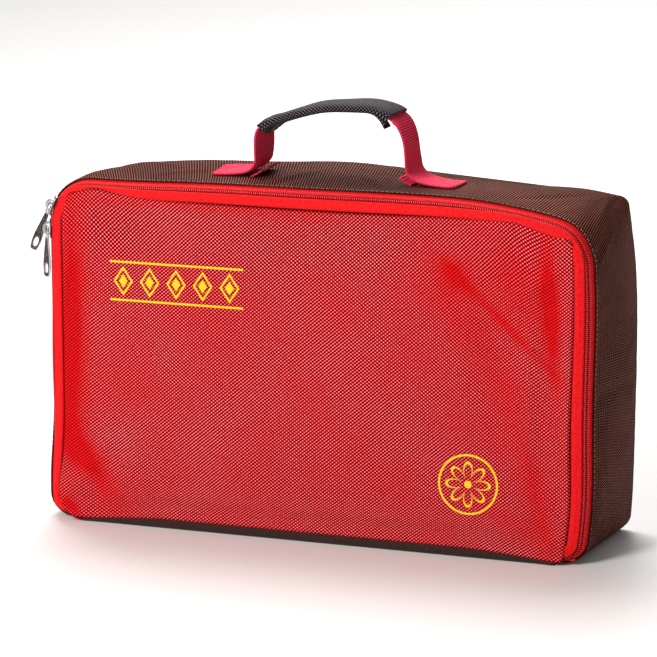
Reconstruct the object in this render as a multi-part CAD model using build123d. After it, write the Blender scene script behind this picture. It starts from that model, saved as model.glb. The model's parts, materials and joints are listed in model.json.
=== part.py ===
from build123d import *
import math
import os

# A zipped soft bag for a set of mahjong tiles, standing on its bottom gusset.
# X runs along the width, Y towards the back, Z up, in millimetres.
# The origin is the middle of the base, on the surface the bag stands on.

# Whole bag
body_width = 340.0
body_height = 210.0
body_depth = 93.0
front_top_radius = 28.0
front_bottom_radius = 14.0
back_top_radius = 12.0
back_bottom_radius = 10.0

# The right end of the top droops from a gentle knee, at the back by a share of what it does in front
droop_width = 82.0
droop_deg = 10.0
droop_back_share = 0.5
knee_radius = 150.0

# Cloth and padding
fabric_thickness = 1.0
foam_thickness = 3.0
lining_thickness = 0.6
ply_gap = 0.1
running_gap = 0.3
seam_binding_width = 5.0
seam_binding_thickness = 1.2

# Gusset edges, counted back from the front face
gusset_setback = 9.0
gusset_padding_setback = 15.0

# Hinge fold along the bottom of the front
hinge_height = 4.0
hinge_binding_depth = 3.8

# Zip chain, on an edge that faces outwards more than forwards
chain_inset = 4.2
chain_setback = 4.6
chain_tilt_deg = 60.0
chain_gap = 1.0
coil_width = 1.6
coil_height = 1.4
coil_chamfer = 0.4
tape_thickness = 0.6
tape_edge = 0.6
tape_hidden_width = 4.4
end_stop_turn_deg = 16.0
coil_corner_turn_deg = 70.0

# Smooth binding band round the front panel
band_start = 2.2
band_bend = 3.0
band_thickness = 0.7
band_knee_inset = 8.5
band_knee_setback = 1.0
panel_inset = 12.2
panel_lining_inset = 9.0

# Swell of the padded front: it starts inside the panel's rim and nears its full height smoothly.
# The shares are of half the height between its lower and upper rim.
swell_height = 5.0
swell_start = 6.0
swell_reach_share = 0.2
swell_step_shares = (0.0, 0.09, 0.27, 0.55)
swell_corner_share = 0.22
swell_corner_growth = 0.3

# Zip sliders
slider_length = 12.0
slider_plate = 1.0
slider_root_reach = 4.5
slider_bevel_low = 0.3
slider_bevel_high = 2.0
slider_under_length = 11.0
slider_under_root_reach = 3.6
slider_under_flap_reach = 2.6
slider_under_drop = 1.6
slider_under_plate = 0.9
slider_post_thickness = 0.4
slider_post_length = 4.0
slider_post_offset = 3.0
slider_flange_width = 0.8
slider_flange_start = 2.5
slider_flange_lift = 0.3
slider_corner = 1.5
bail_radius = 4.2
bail_wire = 1.3
bail_width = 2.0
bail_seat = 0.2

# Zip pulls
pull_axis_height = 1.6
pull_bar_radius = 0.7
pull_ear_radius = 1.3
pull_ear_gap = 0.3
pull_ear_width = 1.2
pull_ear_length = 4.9
pull_neck_length = 2.1
pull_tab_length = 24.0
pull_tab_top_width = 4.4
pull_tab_end_width = 6.2
pull_tab_thickness = 1.4
pull_hole_length = 6.0
pull_hole_width = 3.2
pull_hole_margin = 1.5

# Where the sliders are parked, end to end, with the upper one on the curve of the left shoulder
upper_slider_deg = 23.0
upper_pull_lean_deg = 8.0
slider_end_gap = 1.05

# Handle
strap_width = 30.0
strap_thickness = 1.6
handle_span = 92.0
handle_rise = 48.5
grip_radius = 123.0
shoulder_radius = 11.6
sleeve_wall = 0.9
sleeve_shoulder_deg = 40.0
foot_length = 29.0
foot_stub = 5.0
stitch_height = 0.4
stitch_width = 0.8
stitch_margin = 3.0
patch_width = 36.0
patch_length = 42.0
patch_thickness = 0.8

# Planes and corners that follow from the sizes above
half_width = body_width / 2
front_y = -body_depth / 2
back_y = body_depth / 2
gusset_front_y = front_y + gusset_setback
gusset_back_y = back_y - fabric_thickness - ply_gap
padding_front_y = front_y + gusset_padding_setback
padding_back_y = gusset_back_y - foam_thickness - ply_gap
lining_back_y = padding_back_y - lining_thickness - ply_gap
foam_inset = fabric_thickness + ply_gap
lining_inset = foam_inset + foam_thickness + ply_gap
inside_inset = lining_inset + lining_thickness
top_corner_x = half_width - front_top_radius
top_corner_z = body_height - front_top_radius
bottom_corner_x = half_width - front_bottom_radius
bottom_corner_z = front_bottom_radius
knee_x = half_width - droop_width
knee_z = body_height - knee_radius
chain_y = front_y + chain_setback
across_inset = math.cos(math.radians(chain_tilt_deg))
across_depth = math.sin(math.radians(chain_tilt_deg))


def chain_point(across, out):
    """Section point given across the chain, towards the front panel, and out of it.

    The answer is an inset from the bag's outline and a depth along Y.
    """
    inset = chain_inset + across * across_inset - out * across_depth
    depth = chain_y - across * across_depth - out * across_inset
    return (inset, depth)


def shoulder_centre(radius, slope_deg):
    """Centre of the right shoulder's arc, which the sloping end of the top runs into."""
    slope = math.radians(slope_deg)
    x = half_width - radius
    rise = knee_radius - radius - math.sin(slope) * (x - knee_x)
    return (x, knee_z + rise / math.cos(slope))


def arc_point(centre, radius, angle_deg):
    """The point of a circle at an angle."""
    angle = math.radians(angle_deg)
    return (centre[0] + radius * math.cos(angle), centre[1] + radius * math.sin(angle))


def outline_face(inset, y):
    """The bag's rounded outline, drawn in by inset, with the corners and droop it has at depth y."""
    share = (y - gusset_front_y) / (gusset_back_y - gusset_front_y)
    share = min(max(share, 0.0), 1.0)
    top_radius = front_top_radius + (back_top_radius - front_top_radius) * share
    slope_deg = droop_deg + (droop_back_share - 1) * droop_deg * share
    shoulder = shoulder_centre(top_radius, slope_deg)
    knee = (knee_x, knee_z)
    top = top_radius - inset
    bottom = front_bottom_radius + (back_bottom_radius - front_bottom_radius) * share - inset
    side = half_width - inset
    low = inset
    high = body_height - inset
    slope_start = arc_point(knee, knee_radius - inset, 90 - slope_deg)
    slope_end = arc_point(shoulder, top, 90 - slope_deg)
    edges = [
        Line((side, low + bottom), (side, shoulder[1])),
        CenterArc(shoulder, top, 0, 90 - slope_deg),
        Line(slope_end, slope_start),
        CenterArc(knee, knee_radius - inset, 90 - slope_deg, slope_deg),
        Line((knee_x, high), (top - side, high)),
        CenterArc((top - side, high - top), top, 90, 90),
        Line((-side, high - top), (-side, low + bottom)),
        CenterArc((bottom - side, low + bottom), bottom, 180, 90),
        Line((bottom - side, low), (side - bottom, low)),
        CenterArc((side - bottom, low + bottom), bottom, 270, 90),
    ]
    plane = Plane(origin=(0, y, 0), x_dir=(1, 0, 0), z_dir=(0, -1, 0))
    return plane * Face(Wire(edges))


def span_box(x_range, y_range, z_range):
    """A box between two corners, given as one range along each axis."""
    size = [high - low for low, high in (x_range, y_range, z_range)]
    middle = [(high + low) / 2 for low, high in (x_range, y_range, z_range)]
    return Pos(*middle) * Box(*size)


def wall_ring(outer_inset, inner_inset, y_start, y_end):
    """A closed ring of wall between two insets, from one depth to another."""
    outer = loft([outline_face(outer_inset, y_start), outline_face(outer_inset, y_end)], ruled=True)
    inner = loft([outline_face(inner_inset, y_start), outline_face(inner_inset, y_end)], ruled=True)
    return outer - inner


def without_floor(ring):
    """The left, top and right walls of a ring, with the flat of its bottom taken out."""
    along = (-bottom_corner_x, bottom_corner_x)
    return ring - span_box(along, (-body_depth, body_depth), (-body_depth, bottom_corner_z))


def panel_plate(inset, y_start, y_end):
    """A flat plate with the bag's outline at its own depth, drawn in by inset."""
    return loft([outline_face(inset, y_start), outline_face(inset, y_end)], ruled=True)


def flap_plate(inset, y_start, y_end, low):
    """A plate of the front panel, which runs on down to the hinge fold between its corners."""
    plate = extrude(outline_face(inset, front_y), y_end - y_start)
    plate = Pos(0, y_end - front_y, 0) * plate
    foot_half = bottom_corner_x - ply_gap
    return plate + span_box((-foot_half, foot_half), (y_start, y_end), (low, body_height / 2))


def front_swell():
    """The padding's swell in front of the flat panel, through rounded rectangles that draw in."""
    low = hinge_height + swell_start
    high = body_height - panel_inset - swell_start
    side = half_width - panel_inset - swell_start
    half = (high - low) / 2
    sections = []
    for share in swell_step_shares:
        step = half * share
        forward = swell_height * (1 - math.exp(-share / swell_reach_share))
        plane = Plane(origin=(0, front_y - forward, (low + high) / 2), x_dir=(1, 0, 0), z_dir=(0, -1, 0))
        corner = half * (swell_corner_share + swell_corner_growth * share)
        sections.append(plane * RectangleRounded(2 * (side - step), 2 * (half - step), corner))
    return loft(sections)


def offset_line(points, distance):
    """A line of points moved sideways, to its left as it runs, with mitred corners."""
    normals = []
    for first, second in zip(points, points[1:]):
        run = (second[0] - first[0], second[1] - first[1])
        length = math.hypot(*run)
        normals.append((-run[1] / length, run[0] / length))
    moved = []
    for index, point in enumerate(points):
        before = normals[max(index - 1, 0)]
        after = normals[min(index, len(normals) - 1)]
        mitre = 1 + before[0] * after[0] + before[1] * after[1]
        shift = [(a + b) * distance / mitre for a, b in zip(before, after)]
        moved.append((point[0] + shift[0], point[1] + shift[1]))
    return moved


def strip_section(points, near, far):
    """A strip of cloth seen on end, between two distances to the left of a line."""
    return offset_line(points, near) + offset_line(points, far)[::-1]


def placed_section(section, place):
    """A section of insets and depths set up as a face square to the edge at one place."""
    places = {
        "left": lambda inset, y: (inset - half_width, y, bottom_corner_z),
        "left shoulder": lambda inset, y: (inset - half_width, y, top_corner_z),
        "top": lambda inset, y: (-top_corner_x, y, body_height - inset),
        "knee": lambda inset, y: (knee_x, y, body_height - inset),
        "right": lambda inset, y: (half_width - inset, y, bottom_corner_z),
    }
    corners = [places[place](inset, y) for inset, y in section]
    return Face(Wire.make_polygon(corners, close=True))


def edge_run(section, corner_turn_deg):
    """A section carried up the left edge, over the top and down the right edge.

    It goes on round each lower corner by the given angle.
    """
    slope = math.radians(droop_deg)
    corner_x, corner_z = shoulder_centre(front_top_radius, droop_deg)
    slope_length = (corner_x - knee_x) * math.cos(slope) - (corner_z - knee_z) * math.sin(slope)
    slope_run = (math.cos(slope), 0, -math.sin(slope))
    left = placed_section(section, "left")
    right = placed_section(section, "right")
    run = extrude(left, top_corner_z - bottom_corner_z, dir=(0, 0, 1))
    run += extrude(placed_section(section, "top"), top_corner_x + knee_x, dir=(1, 0, 0))
    run += extrude(right, corner_z - bottom_corner_z, dir=(0, 0, 1))
    left_centre = Axis((-top_corner_x, 0, top_corner_z), (0, 1, 0))
    run += revolve(placed_section(section, "left shoulder"), left_centre, 90)
    knee_centre = Axis((knee_x, 0, knee_z), (0, 1, 0))
    knee = placed_section(section, "knee")
    run += revolve(knee, knee_centre, droop_deg)
    sloping = knee.rotate(knee_centre, droop_deg)
    run += extrude(sloping, slope_length, dir=slope_run)
    shoulder = Pos(*[slope_length * part for part in slope_run]) * sloping
    run += revolve(shoulder, Axis((corner_x, 0, corner_z), (0, 1, 0)), 90 - droop_deg)
    run += revolve(left, Axis((-bottom_corner_x, 0, bottom_corner_z), (0, -1, 0)), corner_turn_deg)
    run += revolve(right, Axis((bottom_corner_x, 0, bottom_corner_z), (0, 1, 0)), corner_turn_deg)
    return run


def back_pieces():
    """Outer cloth, stiffening board, lining and bound seam of the back."""
    board_start = gusset_back_y - foam_thickness
    return {
        "back_panel": panel_plate(0, back_y - fabric_thickness, back_y),
        "back_board": panel_plate(foam_inset, board_start, gusset_back_y),
        "back_lining": panel_plate(lining_inset, padding_back_y - lining_thickness, padding_back_y),
        "back_seam_binding": wall_ring(
            inside_inset + ply_gap,
            inside_inset + ply_gap + seam_binding_thickness,
            lining_back_y - seam_binding_width,
            lining_back_y,
        ),
    }


def gusset_pieces():
    """Cloth, foam and lining of the one strip that makes the left, top and right walls."""
    return {
        "gusset_strip": without_floor(wall_ring(0, fabric_thickness, gusset_front_y, gusset_back_y)),
        "gusset_foam": without_floor(
            wall_ring(foam_inset, foam_inset + foam_thickness, padding_front_y, padding_back_y)
        ),
        "gusset_lining": without_floor(
            wall_ring(lining_inset, inside_inset, padding_front_y, lining_back_y)
        ),
    }


def bottom_pieces():
    """The bottom strip with its turned-up front lip, its board, its lining and the bound fold."""
    along = (ply_gap - bottom_corner_x, bottom_corner_x - ply_gap)
    lip_y = front_y + running_gap
    lip_top = hinge_height - running_gap
    floor = span_box(along, (lip_y, gusset_back_y), (0, fabric_thickness))
    lip = span_box(along, (lip_y, lip_y + fabric_thickness), (0, lip_top))
    fold_y = lip_y + fabric_thickness + ply_gap
    fold_end = fold_y + hinge_binding_depth
    inner_y = fold_end + ply_gap
    board_top = lining_inset - ply_gap
    return {
        "bottom_gusset": floor + lip,
        "bottom_board": span_box(along, (inner_y, padding_back_y), (foam_inset, board_top)),
        "bottom_lining": span_box(along, (inner_y, lining_back_y), (lining_inset, inside_inset)),
        "hinge_seam_binding": span_box(along, (fold_y, fold_end), (foam_inset, lip_top)),
    }


def coil_section(side):
    """Half of the zip's coil; side is 1 for the front panel's half and -1 for the gusset's."""
    near = side * chain_gap / 2
    far = side * (chain_gap / 2 + coil_width)
    corners = [
        (near, 0),
        (far, 0),
        (far, coil_height - coil_chamfer),
        (far - side * coil_chamfer, coil_height),
        (near, coil_height),
    ]
    return [chain_point(across, out) for across, out in corners]


def gusset_zip_pieces():
    """The half of the zip that is sewn to the gusset, and the stops at its two ends."""
    lift = ply_gap / 2
    bend_inset = foam_inset
    bend_across = (bend_inset - chain_inset - lift * across_depth) / across_inset
    bend = chain_point(bend_across, -lift)
    line = [chain_point(-tape_edge, -lift), bend, (bend_inset, bend[1] + tape_hidden_width)]
    tape = edge_run(strip_section(line, 0, -tape_thickness), 90)
    stop_corners = [
        (-coil_width - chain_gap / 2, 0),
        (0, 0),
        (0, coil_height),
        (-coil_width - chain_gap / 2, coil_height),
    ]
    stop_face = placed_section([chain_point(*corner) for corner in stop_corners], "left")
    corner_axis = Axis((-bottom_corner_x, 0, bottom_corner_z), (0, -1, 0))
    stop_start_deg = coil_corner_turn_deg + math.degrees(ply_gap / (front_bottom_radius - chain_inset))
    stop = revolve(stop_face.rotate(corner_axis, stop_start_deg), corner_axis, end_stop_turn_deg)
    return {
        "gusset_zip_tape": tape,
        "gusset_zip_coil": edge_run(coil_section(-1), coil_corner_turn_deg),
        "zip_end_stops": Compound([stop, mirror(stop, Plane.YZ)]),
    }


def front_pieces():
    """Everything that swings with the front: panel, padding, band and its half of the zip."""
    lift = ply_gap / 2
    knee = (band_knee_inset, front_y + band_knee_setback)
    band_end = (panel_inset - ply_gap, front_y + band_thickness + lift)
    tape_line = [chain_point(tape_edge, 0), chain_point(band_bend, 0), knee]
    band_line = [chain_point(band_start, 0), chain_point(band_bend, 0), knee, band_end]
    foam_y = front_y + fabric_thickness + ply_gap
    lining_y = foam_y + foam_thickness + ply_gap
    binding_y = knee[1] + tape_thickness + 2 * ply_gap
    binding = [
        (band_knee_inset + ply_gap, binding_y),
        (panel_inset, binding_y),
        (panel_inset, lining_y - ply_gap),
        (band_knee_inset + ply_gap, lining_y - ply_gap),
    ]
    foam_edge = panel_inset + running_gap
    low = hinge_height + running_gap
    swell = front_swell()
    panel = flap_plate(panel_inset, front_y, front_y + fabric_thickness, hinge_height) + swell
    foam = flap_plate(foam_edge, foam_y, foam_y + foam_thickness, low)
    return {
        "front_panel": panel - Pos(0, fabric_thickness, 0) * swell,
        "front_foam": foam + Pos(0, fabric_thickness + ply_gap, 0) * swell,
        "front_lining": flap_plate(panel_lining_inset, lining_y, lining_y + lining_thickness, low),
        "front_zip_binding": edge_run(strip_section(band_line, -lift, -lift - band_thickness), 90),
        "front_zip_tape": edge_run(strip_section(tape_line, lift, lift + tape_thickness), 90),
        "front_zip_coil": edge_run(coil_section(1), coil_corner_turn_deg),
        "front_seam_binding": edge_run(binding, 90),
    }


# The sliders and pulls are drawn with X across the chain, Y along it and Z out of it
slider_plate_low = coil_height + running_gap
slider_plate_high = slider_plate_low + slider_plate
pull_axis_z = slider_plate_high + pull_axis_height


def slider_solid(wide_end):
    """Outer plate, inner plate, flange and the post between them, at the wide end of the slider."""
    outer = [
        (-slider_root_reach, slider_plate_low),
        (slider_bevel_low, slider_plate_low),
        (slider_bevel_high, slider_plate_high),
        (-slider_root_reach, slider_plate_high),
    ]
    half = slider_length / 2
    outer_face = Face(Wire.make_polygon([(x, -half, z) for x, z in outer], close=True))
    body = extrude(outer_face, slider_length, dir=(0, 1, 0))
    body = fillet(body.edges().filter_by(Axis.Z).group_by(Axis.X)[0], slider_corner)
    under_top = -slider_under_drop
    under = span_box(
        (-slider_under_root_reach, slider_under_flap_reach),
        (-slider_under_length / 2, slider_under_length / 2),
        (under_top - slider_under_plate, under_top),
    )
    under = fillet(under.edges().filter_by(Axis.Z), slider_corner)
    post_middle = wide_end * slider_post_offset
    post = span_box(
        (-slider_post_thickness / 2, slider_post_thickness / 2),
        (post_middle - slider_post_length / 2, post_middle + slider_post_length / 2),
        (under_top, slider_plate_low),
    )
    flange = span_box(
        (-slider_flange_start - slider_flange_width, -slider_flange_start),
        (slider_corner - half, half - slider_corner),
        (slider_flange_lift, slider_plate_low),
    )
    return body + under + post + flange


def bail_solid():
    """The half-round loop that stands on the slider and holds the pull."""
    seat = slider_plate_high + bail_seat
    side = Plane(origin=(-bail_width / 2, 0, seat), x_dir=(0, 1, 0), z_dir=(1, 0, 0))
    ring = Circle(bail_radius) - Circle(bail_radius - bail_wire)
    upper = Pos(0, bail_radius / 2) * Rectangle(2 * bail_radius, bail_radius)
    loop = extrude(side * (ring & upper), bail_width)
    legs = [
        span_box(
            (-bail_width / 2, bail_width / 2),
            sorted((end * bail_radius, end * (bail_radius - bail_wire))),
            (slider_plate_high, seat),
        )
        for end in (-1, 1)
    ]
    return loop + legs[0] + legs[1]


def pull_eye_solid():
    """Two ears, the bar between them that turns in the loop, and the neck below."""
    inner = bail_width / 2 + pull_ear_gap
    outer = inner + pull_ear_width
    bar = Pos(0, 0, pull_axis_z) * Rot(0, 90, 0) * Cylinder(pull_bar_radius, 2 * outer)
    eye = bar
    for side in (-1, 1):
        middle = side * (inner + outer) / 2
        eye += Pos(middle, 0, pull_axis_z) * Rot(0, 90, 0) * Cylinder(pull_ear_radius, pull_ear_width)
        eye += span_box(
            sorted((side * inner, side * outer)),
            (-pull_ear_length - pull_neck_length, 0),
            (pull_axis_z - pull_tab_thickness / 2, pull_axis_z + pull_tab_thickness / 2),
        )
    eye += span_box(
        (-outer, outer),
        (-pull_ear_length - pull_neck_length, -pull_ear_length),
        (pull_axis_z - pull_tab_thickness / 2, pull_axis_z + pull_tab_thickness / 2),
    )
    return eye


def pull_tab_solid():
    """The flat tab, wider towards its round end, with a long hole near that end."""
    top = -pull_ear_length - pull_neck_length
    end_radius = pull_tab_end_width / 2
    end = top - pull_tab_length + end_radius
    blade = make_hull([
        *Polyline((-pull_tab_top_width / 2, top), (pull_tab_top_width / 2, top)).edges(),
        *(Pos(0, end) * Circle(end_radius)).edges(),
    ])
    hole_middle = end - end_radius + pull_hole_margin + pull_hole_length / 2
    hole = Pos(0, hole_middle) * Rot(0, 0, 90) * SlotOverall(pull_hole_length, pull_hole_width)
    return Pos(0, 0, pull_axis_z - pull_tab_thickness / 2) * extrude(blade - hole, pull_tab_thickness)


def chain_plane(x, z, turn_deg):
    """The plane of the zip on the left edge, turned about Y by the given angle up the corner."""
    turn = math.radians(turn_deg)
    outward = (-math.cos(turn), math.sin(turn))
    across = (-across_inset * outward[0], -across_depth, -across_inset * outward[1])
    out = (across_depth * outward[0], -across_inset, across_depth * outward[1])
    return Plane(origin=(x, chain_y, z), x_dir=across, z_dir=out)


def slider_pieces(name, plane, wide_end, lean_deg):
    """A slider, its loop and its pull, with the pull lifted off the chain by its lean."""
    axis = Axis((0, 0, pull_axis_z), (1, 0, 0))
    parts = {
        name + "_slider_body": slider_solid(wide_end),
        name + "_slider_bail": bail_solid(),
        name + "_pull_eye": pull_eye_solid().rotate(axis, -lean_deg),
        name + "_pull_tab": pull_tab_solid().rotate(axis, -lean_deg),
    }
    return {node: plane * solid for node, solid in parts.items()}


def arc_band(centre, radius, thickness, width, start_deg, sweep_deg):
    """A curved strap: a band about a circle's line, seen from the front, with its width along Y."""
    outer = radius + thickness / 2
    inner = radius - thickness / 2
    ends = [math.radians(start_deg), math.radians(start_deg + sweep_deg)]
    rim = [(centre[0] + outer * math.cos(a), centre[1] + outer * math.sin(a)) for a in ends]
    bore = [(centre[0] + inner * math.cos(a), centre[1] + inner * math.sin(a)) for a in ends]
    edges = [
        CenterArc(centre, outer, start_deg, sweep_deg),
        Line(rim[1], bore[1]),
        CenterArc(centre, inner, start_deg, sweep_deg),
        Line(bore[0], rim[0]),
    ]
    plane = Plane(origin=(0, width / 2, 0), x_dir=(1, 0, 0), z_dir=(0, -1, 0))
    return extrude(plane * Face(Wire(edges)), width)


foot_top = body_height + strap_thickness
handle_pivot_z = foot_top + running_gap + strap_width / 2
leg_x = handle_span / 2
grip_centre_z = body_height + handle_rise - grip_radius
shoulder_x = leg_x - shoulder_radius
shoulder_angle = math.acos(shoulder_x / (grip_radius - shoulder_radius))
shoulder_deg = math.degrees(shoulder_angle)
shoulder_z = grip_centre_z + (grip_radius - shoulder_radius) * math.sin(shoulder_angle)


def curved_strap(thickness, width, shoulder_start_deg):
    """The arch of the handle, from part way up one shoulder, over the grip, to the other."""
    right = arc_band(
        (shoulder_x, shoulder_z),
        shoulder_radius,
        thickness,
        width,
        shoulder_start_deg,
        shoulder_deg - shoulder_start_deg,
    )
    grip = arc_band(
        (0, grip_centre_z),
        grip_radius,
        thickness,
        width,
        shoulder_deg,
        180 - 2 * shoulder_deg,
    )
    return grip + right + mirror(right, Plane.YZ)


def handle_pieces():
    """The webbing arch with rounded lower ends, and the sleeve round its middle."""
    leg = span_box(
        (leg_x - strap_thickness / 2, leg_x + strap_thickness / 2),
        (-strap_width / 2, strap_width / 2),
        (handle_pivot_z, shoulder_z),
    )
    leg += Pos(leg_x, 0, handle_pivot_z) * Rot(0, 90, 0) * Cylinder(strap_width / 2, strap_thickness)
    strap = curved_strap(strap_thickness, strap_width, 0) + leg + mirror(leg, Plane.YZ)
    hollow = curved_strap(strap_thickness + 2 * ply_gap, strap_width + 2 * ply_gap, sleeve_shoulder_deg)
    sleeve = curved_strap(
        strap_thickness + 2 * ply_gap + 2 * sleeve_wall,
        strap_width + 2 * ply_gap + 2 * sleeve_wall,
        sleeve_shoulder_deg,
    )
    return {"handle_strap": strap, "handle_grip_sleeve": sleeve - hollow}


def foot_pieces():
    """The two sewn ends of the webbing, their stitching and the patches inside the top."""
    foot = span_box(
        (leg_x - foot_stub, leg_x + foot_length),
        (-strap_width / 2, strap_width / 2),
        (body_height, foot_top),
    )
    stitch_x = (leg_x + stitch_margin, leg_x + foot_length - stitch_margin)
    stitch_y = (stitch_margin - strap_width / 2, strap_width / 2 - stitch_margin)
    stitch = span_box(stitch_x, stitch_y, (foot_top, foot_top + stitch_height))
    stitch -= span_box(
        (stitch_x[0] + stitch_width, stitch_x[1] - stitch_width),
        (stitch_y[0] + stitch_width, stitch_y[1] - stitch_width),
        (foot_top, foot_top + stitch_height),
    )
    patch_x = leg_x + (foot_length - foot_stub) / 2
    patch_top = body_height - inside_inset - ply_gap
    patch = span_box(
        (patch_x - patch_length / 2, patch_x + patch_length / 2),
        (-patch_width / 2, patch_width / 2),
        (patch_top - patch_thickness, patch_top),
    )
    return {
        "handle_left_foot": mirror(foot, Plane.YZ),
        "handle_right_foot": foot,
        "handle_foot_stitching": Compound([stitch, mirror(stitch, Plane.YZ)]),
        "handle_backing_patches": Compound([patch, mirror(patch, Plane.YZ)]),
    }


def all_pieces():
    """Every node of the bag by name."""
    upper_turn = math.radians(upper_slider_deg)
    chain_radius = front_top_radius - chain_inset
    upper_x = -top_corner_x - chain_radius * math.cos(upper_turn)
    upper_z = top_corner_z + chain_radius * math.sin(upper_turn)
    lower_z = top_corner_z + chain_radius * upper_turn - slider_length - slider_end_gap
    lower_plane = chain_plane(chain_inset - half_width, lower_z, 0)
    upper_plane = chain_plane(upper_x, upper_z, upper_slider_deg)
    pieces = {}
    pieces.update(back_pieces())
    pieces.update(gusset_pieces())
    pieces.update(bottom_pieces())
    pieces.update(gusset_zip_pieces())
    pieces.update(front_pieces())
    pieces.update(slider_pieces("lower", lower_plane, 1, 0))
    pieces.update(slider_pieces("upper", upper_plane, -1, upper_pull_lean_deg))
    pieces.update(handle_pieces())
    pieces.update(foot_pieces())
    return pieces


os.makedirs("parts", exist_ok=True)
for node, shape in all_pieces().items():
    export_step(shape, "parts/" + node + ".step")
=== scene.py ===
import json
import math
import bmesh
import bpy
import numpy as np
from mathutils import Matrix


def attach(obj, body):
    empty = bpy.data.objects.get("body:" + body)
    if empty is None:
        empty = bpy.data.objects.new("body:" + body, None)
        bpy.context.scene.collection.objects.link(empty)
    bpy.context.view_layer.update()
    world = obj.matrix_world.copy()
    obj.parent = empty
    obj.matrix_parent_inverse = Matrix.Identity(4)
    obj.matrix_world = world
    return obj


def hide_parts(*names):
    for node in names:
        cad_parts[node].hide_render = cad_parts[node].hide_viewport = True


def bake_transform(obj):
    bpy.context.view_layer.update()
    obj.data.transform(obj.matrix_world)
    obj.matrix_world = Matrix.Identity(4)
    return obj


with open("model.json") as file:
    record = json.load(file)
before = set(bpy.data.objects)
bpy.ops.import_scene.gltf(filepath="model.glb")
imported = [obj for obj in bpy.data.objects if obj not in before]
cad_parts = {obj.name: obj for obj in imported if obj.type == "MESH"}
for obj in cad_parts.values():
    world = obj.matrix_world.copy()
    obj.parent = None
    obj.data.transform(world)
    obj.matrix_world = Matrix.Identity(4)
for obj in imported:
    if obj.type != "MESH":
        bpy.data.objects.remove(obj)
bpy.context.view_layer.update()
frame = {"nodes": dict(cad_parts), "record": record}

# All shapes are worked out in millimetres and put into the meshes in metres.
MM = 0.001

# Sizes repeated from the part's source
HALF_WIDTH = 170.0
HEIGHT = 210.0
FRONT_Y = -46.5
BACK_Y = 46.5
TOP_RADII = (28.0, 5.0)
BOTTOM_RADII = (14.0, 10.0)
GUSSET_Y = (-37.5, 45.4)
CHAIN_INSET, CHAIN_Y, CHAIN_TILT = 4.2, -41.9, math.radians(60)
PANEL_INSET = 12.2
STRAP_WIDTH, STRAP_THICK = 30.0, 1.6

# Sizes of what only this script shows. The panel is a little wider than the solid, to cover its seam
PANEL_HALF, PANEL_TOP, PANEL_FOOT = HALF_WIDTH - PANEL_INSET + 0.4, HEIGHT - PANEL_INSET + 0.4, 0.6
PANEL_FOOT_CORNERS = (14.0, 4.5)
COIL_PITCH = 1.3
WEBBING_PITCH, WEBBING_STITCH = 1.45, 1.5
BOTTOM_X = (-155.9, 155.9)


# Curves and the bag's outline

def spline(x, knots, values):
    """A natural cubic spline through the knots: second slopes from the usual three-term rows, then
    on each span the cubic that has them at its two ends. Flat beyond the outer knots."""
    knots, values = np.asarray(knots, float), np.asarray(values, float)
    gap = np.diff(knots)
    rows = np.eye(len(knots))
    right = np.zeros(len(knots))
    inner = np.arange(1, len(knots) - 1)
    rows[inner, inner - 1] = gap[:-1]
    rows[inner, inner] = 2 * (gap[:-1] + gap[1:])
    rows[inner, inner + 1] = gap[1:]
    right[1:-1] = 6 * (np.diff(values)[1:] / gap[1:] - np.diff(values)[:-1] / gap[:-1])
    bend = np.linalg.solve(rows, right)
    x = np.clip(x, knots[0], knots[-1])
    i = np.clip(np.searchsorted(knots, x) - 1, 0, len(gap) - 1)
    a, b = knots[i + 1] - x, x - knots[i]
    cubic = bend[i] * a**3 + bend[i + 1] * b**3
    straight = (values[i] / gap[i] - bend[i] * gap[i] / 6) * a
    straight += (values[i + 1] / gap[i] - bend[i + 1] * gap[i] / 6) * b
    return cubic / (6 * gap[i]) + straight


def ease(value, low, high):
    """0 below low, 1 above high, and 3t2 - 2t3 between them."""
    t = np.clip((value - low) / (high - low), 0, 1)
    return t * t * (3 - 2 * t)


def bump(value, middle, width):
    """A bell of height 1: e to the minus square of the distance from middle over width."""
    return np.exp(-(((value - middle) / width) ** 2))


def walked(line):
    """Distance gone at each point of a line."""
    return np.concatenate([[0], np.cumsum(np.linalg.norm(np.diff(line, axis=0), axis=1))])


def places(line, stops):
    """The places on a flat line at these distances along it."""
    return joined(*(np.interp(stops, walked(line), line[:, k]) for k in (0, 1)))


def unit(vectors):
    return vectors / np.linalg.norm(vectors, axis=-1, keepdims=True)


def joined(*arrays):
    """Arrays spread to one shape and stacked along a new last axis."""
    return np.stack(np.broadcast_arrays(*arrays), -1)


def across_line(line):
    """Unit normals of a flat line, to the left of the way it goes."""
    run = np.gradient(line, axis=0)
    return unit(joined(-run[:, 1], run[:, 0]))


def around(count):
    """Angles evenly round a circle."""
    return np.arange(count) * 2 * math.pi / count


def powered(value, power):
    """A power that keeps the value's sign, which makes a circle's sine and cosine boxier."""
    return np.sign(value) * np.abs(value) ** power


# The bag's edge is four quarter turns and three straights, of these lengths in millimetres
RUNS = np.array([22.0, 168.0, 44.0, 284.0, 44.0, 168.0, 22.0])
CUTS = np.concatenate([[0], np.cumsum(RUNS)]) / RUNS.sum()
EDGE_LENGTH = RUNS.sum()


def backness(y):
    """0 at the gusset's front edge and 1 at its back edge."""
    return np.clip((y - GUSSET_Y[0]) / (GUSSET_Y[1] - GUSSET_Y[0]), 0, 1)


def radii(y):
    """The outline's top and bottom corner radii at a depth."""
    return [front + (back - front) * backness(y) for front, back in (TOP_RADII, BOTTOM_RADII)]


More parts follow.
